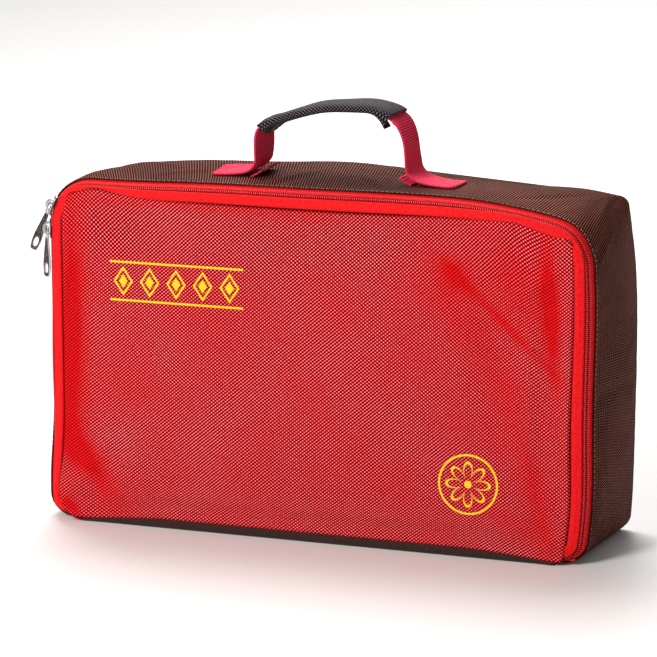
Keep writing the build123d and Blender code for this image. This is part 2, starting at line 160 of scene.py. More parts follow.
def outline(along, inset, y):
    """A point of the bag's rounded edge. along runs from 0 at the lower left corner's foot, up the
    left, over the top and down to 1 at the lower right corner's foot. Each of the seven runs, four
    quarter turns and three straights, adds its own share of travel, and inset draws the turns in."""
    along, inset, y = np.broadcast_arrays(along, inset, y)
    top, low = radii(y)
    t = [np.clip((along - a) / (b - a), 0, 1) for a, b in zip(CUTS, CUTS[1:])]
    turn = [share * math.pi / 2 for share in t]
    sin, cos = [np.sin(a) for a in turn], [1 - np.cos(a) for a in turn]
    low_r, top_r, rise = low - inset, top - inset, HEIGHT - top - low
    x = -(HALF_WIDTH - low) - low_r * sin[0] + top_r * cos[2] + 2 * (HALF_WIDTH - top) * t[3]
    x = x + top_r * sin[4] - low_r * cos[6]
    z = inset + low_r * cos[0] + rise * t[1] + top_r * sin[2] - top_r * cos[4] - rise * t[5]
    z = z - low_r * sin[6]
    return np.stack([x, y, z], -1)


def chain_spot(across, out):
    """Inset and depth of a point given across the zip, towards the panel, and out of it."""
    inset = CHAIN_INSET + across * math.cos(CHAIN_TILT) - out * math.sin(CHAIN_TILT)
    return inset, CHAIN_Y - across * math.sin(CHAIN_TILT) - out * math.cos(CHAIN_TILT)


def even_along(start_mm, end_mm, pitch, inset=CHAIN_INSET, y=CHAIN_Y):
    """Values of along that are pitch apart on the edge at that inset, by its measured length."""
    fine = np.linspace(0, 1, 8001)
    length = walked(outline(fine, inset, y))
    stops = np.arange(start_mm, length[-1] - end_mm, pitch)
    return np.interp(stops, length, fine)


# How the soft bag has settled

def pillow(x, z):
    """How far the front stands forward: a broad swell, and the low step of the tray behind it. It
    rounds under at the foot, which leaves room for the front to swing right down."""
    side = np.minimum(HALF_WIDTH - PANEL_INSET - np.abs(x), HEIGHT - PANEL_INSET - z)
    swell = 3.2 * (1 - np.exp(-np.clip(side, 0, None) / 26)) * (0.75 + 0.25 * bump(z, 95, 90))
    tray = ease(x, -146, -128) * ease(-x, -142, -124) * ease(-z, -176, -160)
    ripple = 0.3 * np.sin(x / 23 + z / 41) * np.sin(z / 29 - x / 67 + 1.3)
    keep = 1 - np.exp(-np.clip(side, 0, None) / 7)
    return (swell + (1.2 * tray + ridges(x, z, PANEL_RIDGES) + ripple) * keep) * ease(z, 1, 20)


# Ridges and hollows of the panel: middle x and z, heading in degrees, half length, half width, rise
PANEL_RIDGES = (
    (134, 105, 88, 62, 6, 1.5), (112, 118, 96, 46, 13, -1.9), (86, 142, 140, 34, 11, 1.0),
    (142, 172, 42, 22, 4.5, 1.6), (146, 158, 30, 16, 3.5, -1.2), (128, 178, 150, 20, 4, -0.9),
    (148, 30, 120, 24, 4.5, 1.3), (138, 22, 135, 24, 4.5, -1.2), (150, 12, 60, 14, 4, 0.9),
    (-147, 26, 70, 16, 8, 1.7), (-132, 24, 80, 22, 6, -1.2), (-150, 100, 90, 60, 4, -0.8),
    (-60, 176, 3, 70, 7, 0.6), (40, 172, -4, 50, 8, -0.7), (0, 60, 20, 60, 26, 0.6),
)


def ridges(u, v, rows):
    """The sum of long bells: each falls off along its own heading and, faster, square to it."""
    height = np.zeros(np.broadcast(u, v).shape)
    for u_middle, v_middle, heading, length, width, rise in rows:
        c, n = math.cos(math.radians(heading)), math.sin(math.radians(heading))
        lengthways = (u - u_middle) * c + (v - v_middle) * n
        across = (v - v_middle) * c - (u - u_middle) * n
        height = height + rise * bump(lengthways, 0, length) * bump(across, 0, width)
    return height


# How far the settled bag's edges have moved: places along each edge, and the moves there
FRONT_LIFT = ((-170, -121, -75, -7, 68, 98, 119, 134, 149.5, 163, 170),
              (0, -0.5, 0.6, 0.8, 1.0, -0.1, -2.4, -4.7, -7.0, -6.6, -7.6))
BACK_LIFT = ((-170, -140, -108, -54, -12, 23, 72, 121, 145, 161, 170),
             (-3.6, -2.7, 0.0, 2.0, 3.9, 2.6, -1.2, -3.8, -4.6, -6.8, -8))
FRONT_LEAN = ((0, 14, 33, 78, 135, 165, 195), (-4.5, -3.2, -1.6, -1.6, -1.2, -1.4, -3))
BACK_LEAN = ((0, 12, 70, 120, 155, 185, 205), (-0.6, 0.2, 1.6, 1.8, 1.0, -1.6, -4.5))
TOP_PULL = ((-160, -156, -150, -139, -130, -117, -101, -70, -3, 50, 80, 102, 126, 138, 149, 156),
            (1.0, 3.7, 5.2, 7.7, 6.9, 5.0, 3.0, 1.4, 0.6, 0.8, 1.8, 3.4, 5.2, 3.4, 2.8, 3.2))
RIGHT_PULL = ((0, 13, 62, 105, 158, 190), (0, 0.9, 0.5, 1.1, 1.8, 3.4))


def settle(points, flap=0.0):
    """Moves points of the stiff outline to where the soft bag has them: the top rises in the middle
    and its right shoulder droops, the right side leans in, and the upper left corner is squashed
    round all the way to the back. On the left the zip stands out past the band, and lower down it
    lies in a groove where the slider can run. flap is 1 for what belongs to the front, which also
    swells forward."""
    x, y, z = np.moveaxis(points, -1, 0)
    back = ease(y, GUSSET_Y[0], BACK_Y)
    lift = spline(x, *FRONT_LIFT) * (1 - back) + spline(x, *BACK_LIFT) * back
    lift = lift * ease(z, 40, 200) ** 2
    lean = spline(z, *FRONT_LEAN) * (1 - back) + spline(z, *BACK_LEAN) * back
    lean = lean * ease(x, 20, HALF_WIDTH)
    groove = 1 - 0.92 * bump(y, CHAIN_Y, 3.2)
    left = -(0.4 + 3.2 * ease(-z, -74, -18)) * (1 - 0.6 * back) * groove * ease(-x, 60, 168)
    forward = pillow(x, z) * flap
    from_corner = np.hypot(x + HALF_WIDTH, z - HEIGHT)
    squash = 6.9 * np.clip((y - GUSSET_Y[0]) / 83, 0, 1) * bump(from_corner, 0, 14)
    zip_out = 1.0 * ease(-y, 38, 40) * ease(y, -45, -43.6) * ease(-x, 150, 160) * bump(z, 100, 36)
    return np.stack([x + lean + left + squash - zip_out, y - forward, z + lift - squash], -1)


def corner_pull(points, share):
    """Pulls the panel's edge out over the band where the photo has it: up along the top, most of
    all at its two corners, and to the right and the left. share is 1 for the panel and less for the
    band."""
    x, y, z = np.moveaxis(points, -1, 0)
    up = spline(x, *TOP_PULL) * ease(z, 160, 196) * ease(-z, -209, -200) * share
    out = spline(z, *RIGHT_PULL) * ease(x, 118, 155) * ease(-x, -168, -159) * share
    left = (1.6 + 2.2 * ease(-z, -42, -20)) * ease(-x, 120, 156) * ease(x, -170, -162)
    out = out - left * ease(-z, -192, -180) * share
    return np.stack([x + out, y - 0.16 * up * (share > 0.9), z + up], -1)


# Folds of the gusset's cloth: middle along the edge and in depth, heading, half length and width, rise
GUSSET_FOLDS = (
    (300, 2, 38, 34, 4.5, 0.9), (352, -12, 62, 26, 5.0, 1.0), (398, -8, -50, 22, 4.0, 0.8),
    (452, 6, 118, 30, 5.0, 0.9), (268, 14, 150, 26, 5.0, 0.8), (500, -4, 65, 26, 5.0, -1.0),
    (536, 4, 112, 24, 4.2, 1.1), (560, -16, 100, 20, 3.6, 0.8), (600, 6, 75, 40, 6.0, 0.8),
    (650, -6, 82, 46, 5.0, -0.7), (690, 10, 95, 40, 7.0, 0.7), (215, 0, 60, 24, 5.0, 0.9),
    (150, 4, 95, 50, 7.0, 0.8), (90, -6, 80, 40, 6.0, -0.7), (60, 12, 110, 30, 5.0, 0.6),
)


def gusset_wave(s, y):
    """Inset of the gusset's cloth: it swells out between its seams and has folds."""
    swell = 0.3 * np.sin(backness(y) * math.pi) ** 0.8
    level = ease(s, 14, 60) * ease(EDGE_LENGTH - s, 14, 60)
    away = ease(y, -37, -28) * ease(-y, -45, -36)
    return -(swell + 1.35 * ridges(s, y, GUSSET_FOLDS) * away) * level


def top_height(x, y):
    """Height of the settled top over a point of the ground plan, for what is sewn on it."""
    s = RUNS[:3].sum() + RUNS[3] * (x / (2 * (HALF_WIDTH - radii(y)[0])) + 0.5)
    return settle(joined(x, y, HEIGHT - gusset_wave(s, y)))[..., 2]


# Meshes

def tube_faces(rows, cols, ring=False):
    """Faces of a tube of rows by cols points: its quads, and at each end a flat face unless it is a
    ring, whose last row joins its first. Also where each quad's corners are in a uv grid that is one
    column wider."""
    r, c = np.arange(rows if ring else rows - 1)[:, None], np.arange(cols)
    r2, c2 = (r + 1) % rows, (c + 1) % cols
    quads = joined(r * cols + c, r * cols + c2, r2 * cols + c2, r2 * cols + c).reshape(-1, 4).tolist()
    ends = [] if ring else [list(range(cols)), list(range((rows - 1) * cols, rows * cols))]
    here, next_row = r * (cols + 1) + c, (r + 1) * (cols + 1) + c
    return quads + ends, joined(here, here + 1, next_row + 1, next_row).reshape(-1, 4)


def new_object(name, data):
    """An object with this data, in the scene."""
    made = bpy.data.objects.new(name, data)
    bpy.context.scene.collection.objects.link(made)
    return made


def turn_outwards(mesh):
    """Turns a closed mesh's faces outwards."""
    work = bmesh.new()
    work.from_mesh(mesh)
    bmesh.ops.recalc_face_normals(work, faces=work.faces)
    work.to_mesh(mesh)
    work.free()


def add_piece(name, vertices, faces, uv, body, stuff, replaces=(), attributes=None):
    """Makes one object from points in mm, faces and one uv in mm per face corner, with its faces
    turned outwards, and lets it ride on its body. stuff is its slot and material."""
    slot, material = stuff
    mesh = bpy.data.meshes.new(name)
    mesh.from_pydata((np.asarray(vertices).reshape(-1, 3) * MM).tolist(), [], faces)
    layer = mesh.uv_layers.new(name="cloth")
    layer.data.foreach_set("uv", np.asarray(uv, np.float32).ravel())
    for key, values in (attributes or {}).items():
        mesh.attributes.new(key, "FLOAT", "POINT").data.foreach_set("value", values.astype(np.float32))
    turn_outwards(mesh)
    mesh.polygons.foreach_set("use_smooth", np.ones(len(mesh.polygons), bool))
    mesh.materials.append(material)
    piece = new_object(name, mesh)
    if body:
        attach(piece, body)
    if replaces:
        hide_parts(*replaces)
    return piece


def tube_piece(name, points, uv, body, stuff, replaces=(), attributes=None):
    """A tube from a grid of points (rows, section, 3) and a grid of uv (rows, section + 1, 2)."""
    cols = points.shape[1]
    faces, corners = tube_faces(*points.shape[:2])
    loops = np.concatenate([uv.reshape(-1, 2)[corners].reshape(-1, 2), uv[0, :cols], uv[-1, :cols]])
    return add_piece(name, points, faces, loops, body, stuff, replaces, attributes)


def section_uv(along_mm, section):
    """uv of a carried section: distance along the edge, and distance round the section."""
    return joined(along_mm[:, None], walked(np.concatenate([section, section[:1]])))


def ribbon_section(line, thickness, fullness=6.0):
    """A cloth strip seen on end. The line (inset, depth) is sampled closely near its ends, and the
    strip is thickness times the root of 1 - |2t - 1| to the fullness thick, so its edges are round."""
    line = np.asarray(line, float)
    t = (1 - np.cos(np.linspace(0, math.pi, 19))) / 2
    middle = places(line, t * walked(line)[-1])
    half = thickness / 2 * np.sqrt(np.clip(1 - np.abs(2 * t - 1) ** fullness, 0, None))[:, None]
    off = across_line(middle) * half
    return np.concatenate([middle + off, (middle - off)[-2:0:-1]])


def edge_points(section, rows, flap=0.0, span=(0.0, 1.0), wave=None, around_panel=False):
    """A closed section of (inset, depth) carried along the bag's edge and settled with it. Near the
    foot a strip that goes around the panel is held out to the panel's rounded corner, and its ends
    run on a little way along the foot."""
    along = np.linspace(*span, rows)
    inset, y = section[None, :, 0], section[None, :, 1]
    if wave is not None:
        inset = inset + wave(along[:, None] * EDGE_LENGTH, y)
    points = outline(along[:, None], inset, y)
    run_on = np.clip(-along, 0, None) - np.clip(along - 1, 0, None)
    points[..., 0] += run_on[:, None] * EDGE_LENGTH
    if around_panel:
        points = hold_out(points)
    points = settle(points, flap)
    if around_panel:
        points = corner_pull(points, 0.4)
    return points, section_uv(along * EDGE_LENGTH, section)


def edge_strip(name, section, rows, body, stuff, replaces, **how):
    """A piece made of a section carried along the bag's edge; seam is 1 on its innermost side, where the
    band's material puts painted shade in the groove at its seam.
    """
    points, uv = edge_points(section, rows, **how)
    seam = np.tile(ease(section[:, 0], 11.0, 11.5), rows)
    return tube_piece(name, points, uv, body, stuff, replaces, {"seam": seam})


CLOTH_FRAMES = 20


def blown(points, held, pressure, slack, most):
    """How far each point of a closed tube of cloth moves when Blender's cloth fills it with air: the
    held points stay, the cloth is longer than the tube by the share slack, and gravity is off. A
    move fades towards the limit most, as most times the hyperbolic tangent of its share of it."""
    mesh = bpy.data.meshes.new("cloth_trial")
    mesh.from_pydata((points.reshape(-1, 3) * MM).tolist(), [], tube_faces(*points.shape[:2])[0])
    turn_outwards(mesh)
    trial = new_object("cloth_trial", mesh)
    group = trial.vertex_groups.new(name="held")
    group.add(np.flatnonzero(held.ravel()).tolist(), 1.0, "REPLACE")
    cloth = trial.modifiers.new("cloth", "CLOTH")
    how = cloth.settings
    how.quality, how.mass = 6, 0.1
    how.tension_stiffness, how.compression_stiffness, how.shear_stiffness = 12, 12, 4
    how.bending_stiffness = 0.05
    how.shrink_min = -slack
    how.use_pressure, how.uniform_pressure_force = True, pressure
    how.effector_weights.gravity = 0
    how.vertex_group_mass = "held"
    cloth.point_cache.frame_start, cloth.point_cache.frame_end = 1, CLOTH_FRAMES
    for number in range(1, CLOTH_FRAMES + 1):
        bpy.context.scene.frame_set(number)
    filled = trial.evaluated_get(bpy.context.evaluated_depsgraph_get()).data
    after = np.empty(points.size)
    filled.vertices.foreach_get("co", after)
    bpy.context.scene.frame_set(1)
    bpy.data.objects.remove(trial)
    bpy.data.meshes.remove(mesh)
    moves = after.reshape(points.shape) / MM - points
    size = np.linalg.norm(moves, axis=-1, keepdims=True) + 1e-9
    return moves * most * np.tanh(size / most) / size


def spread(coarse, rows, cols):
    """A grid of vectors resampled to rows by cols by straight interpolation both ways."""
    down = np.linspace(0, coarse.shape[0] - 1, rows)[:, None]
    across = np.linspace(0, coarse.shape[1] - 1, cols)[None, :]
    r = np.clip(down.astype(int), 0, coarse.shape[0] - 2)
    c = np.clip(across.astype(int), 0, coarse.shape[1] - 2)
    fr, fc = (down - r)[..., None], (across - c)[..., None]
    upper = coarse[r, c] * (1 - fc) + coarse[r, c + 1] * fc
    lower = coarse[r + 1, c] * (1 - fc) + coarse[r + 1, c + 1] * fc
    return upper * (1 - fr) + lower * fr


def hold_out(points):
    """Moves points that are inside the panel's rounded lower corners straight out to its rim."""
    x, y, z = np.moveaxis(points, -1, 0)
    corner = np.where(x < 0, *PANEL_FOOT_CORNERS)
    middle_x, middle_z = PANEL_HALF - corner, PANEL_FOOT + corner
    away_x, away_z = np.maximum(np.abs(x) - middle_x, 0.1), np.minimum(z - middle_z, 0)
    grow = np.maximum(1, (corner - 0.4) / np.hypot(away_x, away_z))
    pushed = (z < 40) & (grow > 1)
    new_x = np.where(pushed, np.sign(x) * (middle_x + away_x * grow), x)
    new_z = np.where(pushed & (away_z < 0), middle_z + away_z * grow, z)
    return np.stack([new_x, y, new_z], -1)


def slab_points(half_width, low, high, front, back, corner, low_corners, rows=120, cols=180):
    """A pad or plate seen from the front: rows from low to high whose width follows the rounded
    corners, wrapped as a tube whose section is the front face from left to right and the back face
    from right to left. front and back give the depth of a face from x, z and the distance to the
    rim."""
    t = np.linspace(0, 1, rows)
    t = t - 0.14 * np.sin(2 * math.pi * t) / math.pi
    z = low + (high - low) * t
    top = np.clip((z - (high - corner)) / corner, 0, 1)
    width = half_width - corner * (1 - np.sqrt(1 - top**2))
    foot = [np.clip((low + radius - z) / radius, 0, 1) for radius in low_corners]
    left, right = [width - radius * (1 - np.sqrt(1 - share**2))
                   for radius, share in zip(low_corners, foot)]
    u = np.linspace(-1, 1, cols)
    u = np.sin(u * math.pi / 2) * 0.42 + u * 0.58
    x = np.where(u < 0, left[:, None], right[:, None]) * u
    zz = np.broadcast_to(z[:, None], x.shape)
    rim = rim_distance(x, zz, half_width, low, high, corner, low_corners)
    near, far = joined(x, front(x, zz, rim), zz), joined(x, back(x, zz, rim), zz)[:, ::-1]
    points = np.concatenate([near, far], 1)
    uv = joined(np.concatenate([x, x[:, ::-1], x[:, :1]], 1), z[:, None])
    return points, uv, np.concatenate([rim, rim[:, ::-1]], 1)


def rim_distance(x, z, half_width, low, high, corner, low_corners):
    """Distance inwards from the rounded rectangle's rim."""
    radius = np.where(z > (low + high) / 2, corner, np.where(x < 0, *low_corners))
    middle = (low + high) / 2
    qx = np.abs(x) - (half_width - radius)
    qz = np.abs(z - middle) - ((high - low) / 2 - radius)
    outside = np.hypot(np.clip(qx, 0, None), np.clip(qz, 0, None))
    return radius - outside - np.minimum(np.maximum(qx, qz), 0)


# Materials

class Value:
    """What a material works out at each place, with the usual signs for sums on it."""

    def __init__(self, paint, socket):
        self.paint, self.socket = paint, socket

    def __add__(self, other):
        return self.paint.math("ADD", self, other)

    def __sub__(self, other):
        return self.paint.math("SUBTRACT", self, other)

    def __rsub__(self, other):
        return self.paint.math("SUBTRACT", other, self)

    def __mul__(self, other):
        return self.paint.math("MULTIPLY", self, other)

    def __truediv__(self, other):
        return self.paint.math("DIVIDE", self, other)

    def __abs__(self):
        return self.paint.math("ABSOLUTE", self)


class Paint:
    """A small writer of node trees: each call adds a node and links what it is given to it."""

    def __init__(self, name):
        self.material = bpy.data.materials.new(name)
        self.material.use_nodes = True
        self.tree = self.material.node_tree
        self.shader = self.tree.nodes["Principled BSDF"]

    def put(self, value, socket):
        if isinstance(value, Value):
            self.tree.links.new(value.socket, socket)
        else:
            socket.default_value = value

    def node(self, kind, *values, output=0, inputs=(), **settings):
        """Adds a node with its first inputs given in order or its inputs by name, and gives one
        output."""
        node = self.tree.nodes.new(kind)
        for key, value in settings.items():
            setattr(node, key, value)
        for value, socket in zip(values, node.inputs):
            self.put(value, socket)
        for key, value in dict(inputs).items():
            self.put(value, node.inputs[key])
        return Value(self, node.outputs[output])

    def math(self, operation, *values):
        return self.node("ShaderNodeMath", *values, operation=operation)

    def wave(self, value):
        return self.math("COSINE", value)

    def most(self, *values):
        """The largest of some values."""
        largest = values[0]
        for value in values[1:]:
            largest = self.math("MAXIMUM", largest, value)
        return largest

    def noise(self, where, scale, detail=2.0, rough=0.5):
        return self.node("ShaderNodeTexNoise", output="Fac",
                         inputs={"Vector": where, "Scale": scale, "Detail": detail, "Roughness": rough})

    def mix(self, share, low, high):
        return self.node("ShaderNodeMix", output="Result", data_type="RGBA",
                         inputs={"Factor": share, "A": low, "B": high})

    def ramp(self, value, low, high, out_low=0.0, out_high=1.0):
        return self.node("ShaderNodeMapRange", value, low, high, out_low, out_high)

    def carried(self, name):
        """A number that the mesh carries at its points."""
        return self.node("ShaderNodeAttribute", output="Fac", attribute_name=name)

    def parts(self, vector):
        split = self.tree.nodes.new("ShaderNodeSeparateXYZ")
        self.put(vector, split.inputs[0])
        return [Value(self, output) for output in split.outputs]

    def uv(self):
        """The cloth's own coordinates in millimetres: both in one, and each."""
        where = self.node("ShaderNodeUVMap", uv_map="cloth")
        return (where, *self.parts(where)[:2])

    def place(self):
        """Object coordinates in millimetres: all three in one, and each."""
        metres = self.node("ShaderNodeTexCoord", output="Object")
        where = self.node("ShaderNodeVectorMath", metres, (1 / MM, 1 / MM, 1 / MM), operation="MULTIPLY")
        return (where, *self.parts(where))

    def raise_by(self, height, strength, distance):
        """Shades the surface as if it had this height, times distance in metres."""
        relief = self.node("ShaderNodeBump",
                           inputs={"Strength": strength, "Distance": distance, "Height": height})
        self.put(relief, self.shader.inputs["Normal"])

    def finish(self, colour, rough, metallic=0.0, sheen=0.0, specular=0.5):
        """Fills in the shader and gives the material."""
        inputs = {"Base Color": colour, "Roughness": rough, "Metallic": metallic, "Sheen Weight": sheen,
                  "Sheen Roughness": SHEEN_ROUGHNESS, "Specular IOR Level": specular}
        for key, value in inputs.items():
            self.put(value, self.shader.inputs[key])
        return self.material


SHEEN_ROUGHNESS = 0.4


def rgb(red, green, blue):
    """A colour from display values 0 to 255, made linear, with full cover."""
    linear = [((v / 255 + 0.055) / 1.055) ** 2.4 if v > 10 else v / 255 / 12.92 for v in (red, green, blue)]
    return (*linear, 1.0)


# Painted shade for the grooves at the panel's and the band's seams, and the print's yellow.
PANEL_SEAM_SHADE, BAND_SEAM_SHADE, PRINT_YELLOW = rgb(96, 0, 2), rgb(104, 0, 3), rgb(247, 205, 38)


def oxford(paint, u, v, where, cell, sway):
    """The coarse plain weave: the two crossed gratings of its threads, weighed so that one slant
    shows more than the other, changing slowly from place to place."""
    fu, fv = u * (math.pi / cell[0]), v * (math.pi / cell[1])
    drift = paint.ramp(paint.noise(where, 0.013, 1.0), 0.3, 0.7, sway - 0.16, sway + 0.16)
    return paint.wave(fu - fv) * drift - paint.wave(fu + fv) * (1.0 - drift)


def bells(paint, x, z, rows):
    """The same long bells as those of ridges, worked out by nodes at a place in the material."""
    total = 0.0
    for x_middle, z_middle, heading, length, width, rise in rows:
        c, n = math.cos(math.radians(heading)), math.sin(math.radians(heading))
        dx, dz = x - x_middle, z - z_middle
        lengthways = dx * (c / length) + dz * (n / length)
        across = dz * (c / width) - dx * (n / width)
        bell = paint.math("EXPONENT", (across * across + lengthways * lengthways) * -1.0)
        total = bell * rise + total
    return total


def oxford_cloth(name, dark, middle, light, rough, is_panel=False, specular=0.05, cell=(1.25, 1.04),
                 sway=0.58):
    """Coarse glossy weave: painted shade in the pits and painted highlights on the narrow crowns, a little
    uneven in tone and in the strength of this painted light. On the panel, zones of painted shade over
    the hollows of its folds take the pale crowns away, and painted shade darkens the rim at its seam."""
    paint = Paint(name)
    where, u, v = paint.uv()
    woven = oxford(paint, u, v, where, cell, sway)
    uneven = paint.noise(where, 0.9, 3.0, 0.6)
    crown = paint.ramp(woven, -1.0, 1.0) + paint.ramp(uneven, 0.3, 0.7, -0.1, 0.1)
    # The fade of the painted light: at random on every weave, and on the panel also its zones of painted
    # shade.
    painted_light_fade = paint.ramp(paint.noise(where, 0.02, 3.0, 0.55), 0.35, 0.75, 0.0, 0.35)
    if is_panel:
        _, x, _, z = paint.place()
        # Painted shade zones on the panel, where its weave loses its painted highlights.
        painted_light_fade = paint.math("MINIMUM", painted_light_fade + bells(paint, x, z, PAINTED_SHADE_AND_HIGHLIGHT_ZONES), 0.9)
    # The dark pits are painted shade and the pale crowns painted highlights, both calmed where the painted
    # light fades.
    low = paint.mix(paint.ramp(crown, 0.18, 0.68) + painted_light_fade * 0.45, dark, middle)
    colour = paint.mix(paint.ramp(crown, 0.63, 0.98) * (1.0 - painted_light_fade), low, light)
    if is_panel:
        # Painted shade in the groove along the panel's seam.
        colour = paint.mix(paint.carried("seam") * 0.9, colour, PANEL_SEAM_SHADE)
        worn = paint.ramp(paint.noise(where, 1.6, 2.0), 0.25, 0.4, 0.75, 1.0)
        colour = paint.mix(print_shapes(paint, x, z) * worn, colour, PRINT_YELLOW)
    paint.raise_by(woven, 0.5, 0.0003)
    return paint.finish(colour, paint.ramp(crown, 0.2, 1.0, rough + 0.18, rough), specular=specular)


# Where the panel has painted shade that takes its weave's painted highlights away, and painted highlight
# where the share is below 0: middle x and z, heading in degrees, half length and width, share
PAINTED_SHADE_AND_HIGHLIGHT_ZONES = (
    (86, 168, -39, 15, 9, 0.75), (120, 137, -43, 40, 3, 0.5), (144, 150, -86, 46, 5, 0.85),
    (108, 118, -52, 60, 14, 0.35), (122, 165, -55, 34, 19, 0.6), (137, 40, -75, 38, 7, 0.5),
    (-154, 119, -91, 80, 9, 1.0), (-144, 38, -53, 24, 9, 0.95), (-156, 9, -41, 9, 4, 0.7),
    (-51, 197, -1, 90, 3, 0.35), (121, 24, -24, 28, 8, 0.4), (-20, 180, 0, 110, 18, -0.3),
)

# The print: a row of diamonds between two bars, and a ring of petals
ROW_START_X, ROW_Z, DIAMOND_STEP, DIAMOND_COUNT = -128.0, 150.0, 17.0, 5.0
DIAMOND_REACH, HEART_REACH, BAR_Z = 6.4, 3.2, 11.5
FLOWER_X, FLOWER_Z, RING_RADIUS, HUB_RADIUS = 96.0, 44.0, 17.5, 2.2
PETAL_FOOT, PETAL_LENGTH, PETAL_ROUNDNESS = 4.5, 8.5, 0.7


def print_shapes(paint, x, z):
    """The yellow print: a level row of diamonds upper left, each with a bare slit round its heart,
    and a ring of eight petals lower right."""

    def below(value, edge, soft=0.18):
        return paint.ramp(value, edge + soft, edge - soft)

    step = (x - ROW_START_X) / DIAMOND_STEP
    sideways = abs((paint.math("FRACT", step) - 0.5) * DIAMOND_STEP)
    upright = abs(z - ROW_Z)
    away = sideways * 1.15 + upright * 0.8
    inside = paint.math("GREATER_THAN", step, 0.0) * paint.math("LESS_THAN", step, DIAMOND_COUNT)
    rim, heart = below(abs(away - DIAMOND_REACH), 0.75), below(away, HEART_REACH)
    row = paint.most(rim, heart, below(abs(upright - BAR_Z), 0.6)) * inside

    dx, dz = x - FLOWER_X, z - FLOWER_Z
    radius = paint.math("SQRT", dx * dx + dz * dz)
    turn = abs(paint.wave(paint.math("ARCTAN2", dz, dx) * 4.0))
    reach = paint.math("POWER", turn, PETAL_ROUNDNESS) * PETAL_LENGTH + PETAL_FOOT
    petals, ring = below(abs(radius - reach), 0.8, 0.25), below(abs(radius - RING_RADIUS), 0.6)
    return paint.most(row, petals, ring, below(radius, HUB_RADIUS))


def smooth_tape(name, dark, light, rough=0.5, cell=0.36, sheen=0.4, specular=0.12, painted_seam_shade=False):
    """Fine close tape: a tiny plain weave, mottled in tone, and, when asked, with painted shade in its
    seam.
    """
    paint = Paint(name)
    where, u, v = paint.uv()
    threads = paint.math("SINE", u * (math.pi / cell)) * paint.math("SINE", v * (math.pi / cell))
    mottle = paint.noise(where, 0.55, 3.0, 0.65)
    tone = paint.ramp(mottle, 0.3, 0.7, 0.0, 0.75) + paint.ramp(threads, -1, 1, 0, 0.25)
    paint.raise_by(threads + mottle * 0.6, 0.5, 0.00008)
    colour = paint.mix(tone, dark, light)
    if painted_seam_shade:
        # Painted shade in the groove at the band's seam.
        colour = paint.mix(paint.carried("seam"), colour, BAND_SEAM_SHADE)
    return paint.finish(colour, rough, sheen=sheen, specular=specular)


def thread_paint(name, dark, light, rough=0.4):
    """Twisted thread: slanted turns, painted light and dark as highlight and shade."""
    paint = Paint(name)
    _, u, v = paint.uv()
    turns = paint.math("SINE", (u + v) * 9.0)
    paint.raise_by(turns, 0.4, 0.00005)
    return paint.finish(paint.mix(paint.ramp(turns, -1, 1), dark, light), rough, specular=0.06)


def metal_paint(name, base, bright, rough, metallic=1.0, rubbed_edges=False):
    """Plated zinc with faint scuffs, brighter where its edges are rubbed."""
    paint = Paint(name)
    where = paint.place()[0]
    scuff = paint.noise(where, 1.2, 4.0, 0.6)
    colour = paint.mix(paint.ramp(scuff, 0.45, 0.75, 0.0, 0.35), base, bright)
    if rubbed_edges:
        colour = paint.mix(paint.carried("edge"), colour, bright)
    paint.raise_by(paint.noise(where, 6.0), 0.12, 0.00005)
    return paint.finish(colour, paint.ramp(scuff, 0.3, 0.7, rough, rough + 0.12), metallic, specular=0.2)


def webbing_paint(name, groove, body, crown):
    """Ribbed webbing: painted shade in the grooves along it, and on each rib short slanted stitches that
    lean towards the rib's middle, with a painted highlight where a stitch tops its rib."""
    paint = Paint(name)
    where, u, v = paint.uv()
    rib = v / WEBBING_PITCH
    hill = paint.wave(rib * (2 * math.pi))
    lean = abs(paint.math("FRACT", rib) - 0.5)
    tick = paint.math("SINE", (u / WEBBING_STITCH + lean) * (2 * math.pi))
    shade = paint.ramp(hill, -1.0, 0.2, 0.35, 1.0) * paint.ramp(tick, -0.9, 0.1)
    glint = paint.ramp(tick, 0.2, 1.0) * paint.ramp(hill, 0.2, 1.0)
    uneven = paint.ramp(paint.noise(where, 1.1, 3.0, 0.6), 0.35, 0.6)
    paint.raise_by(tick + hill, 0.4, 0.0002)
    # groove is the colour of painted shade and crown that of a painted highlight; body is the webbing's
    # own.
    colour = paint.mix(glint * uneven, paint.mix(shade, groove, body), crown)
    return paint.finish(colour, 0.5, specular=0.08)


# What a piece is made of: the name of its slot, and its material
# For threads and the coil, the two colours are the turns' painted shade and painted highlight.
PINK = thread_paint("thread_pink", rgb(220, 30, 64), rgb(250, 96, 124))
# Oxford weaves: the first colour is painted shade in the pits, the second the cloth's own, the third a
# painted highlight on the crowns.
RED_PANEL = "red_panel_cloth", oxford_cloth("red_oxford", rgb(84, 0, 0), rgb(206, 0, 5),
                                            rgb(255, 162, 170), 0.4, is_panel=True, specular=0.015)
BROWN = "brown_cloth", oxford_cloth("brown_oxford", rgb(26, 5, 2), rgb(58, 17, 10), rgb(166, 98, 78),
                                    0.5, specular=0.02, cell=(0.79, 3.6), sway=0.22)
BAND_RED = "red_band", smooth_tape("band_red", rgb(204, 10, 14), rgb(242, 36, 40), sheen=0.0,
                                   specular=0.05, painted_seam_shade=True)
TAPE_RED = "red_zip_tape", smooth_tape("zip_tape_red", rgb(214, 14, 20), rgb(250, 44, 50), cell=0.5,
                                       sheen=0.0, specular=0.05)
LINING = "lining", smooth_tape("lining_black", rgb(26, 22, 23), rgb(44, 38, 40), 0.55, cell=0.6)
BINDING = "binding_tape", smooth_tape("binding_brown", rgb(34, 20, 18), rgb(60, 38, 34), 0.6, cell=0.7)
COIL_RED = "zip_coil", thread_paint("coil_red", rgb(150, 0, 6), rgb(224, 14, 20), 0.5)
THREAD_RED = "red_thread", thread_paint("thread_red", rgb(250, 44, 50), rgb(255, 112, 116), 0.5)
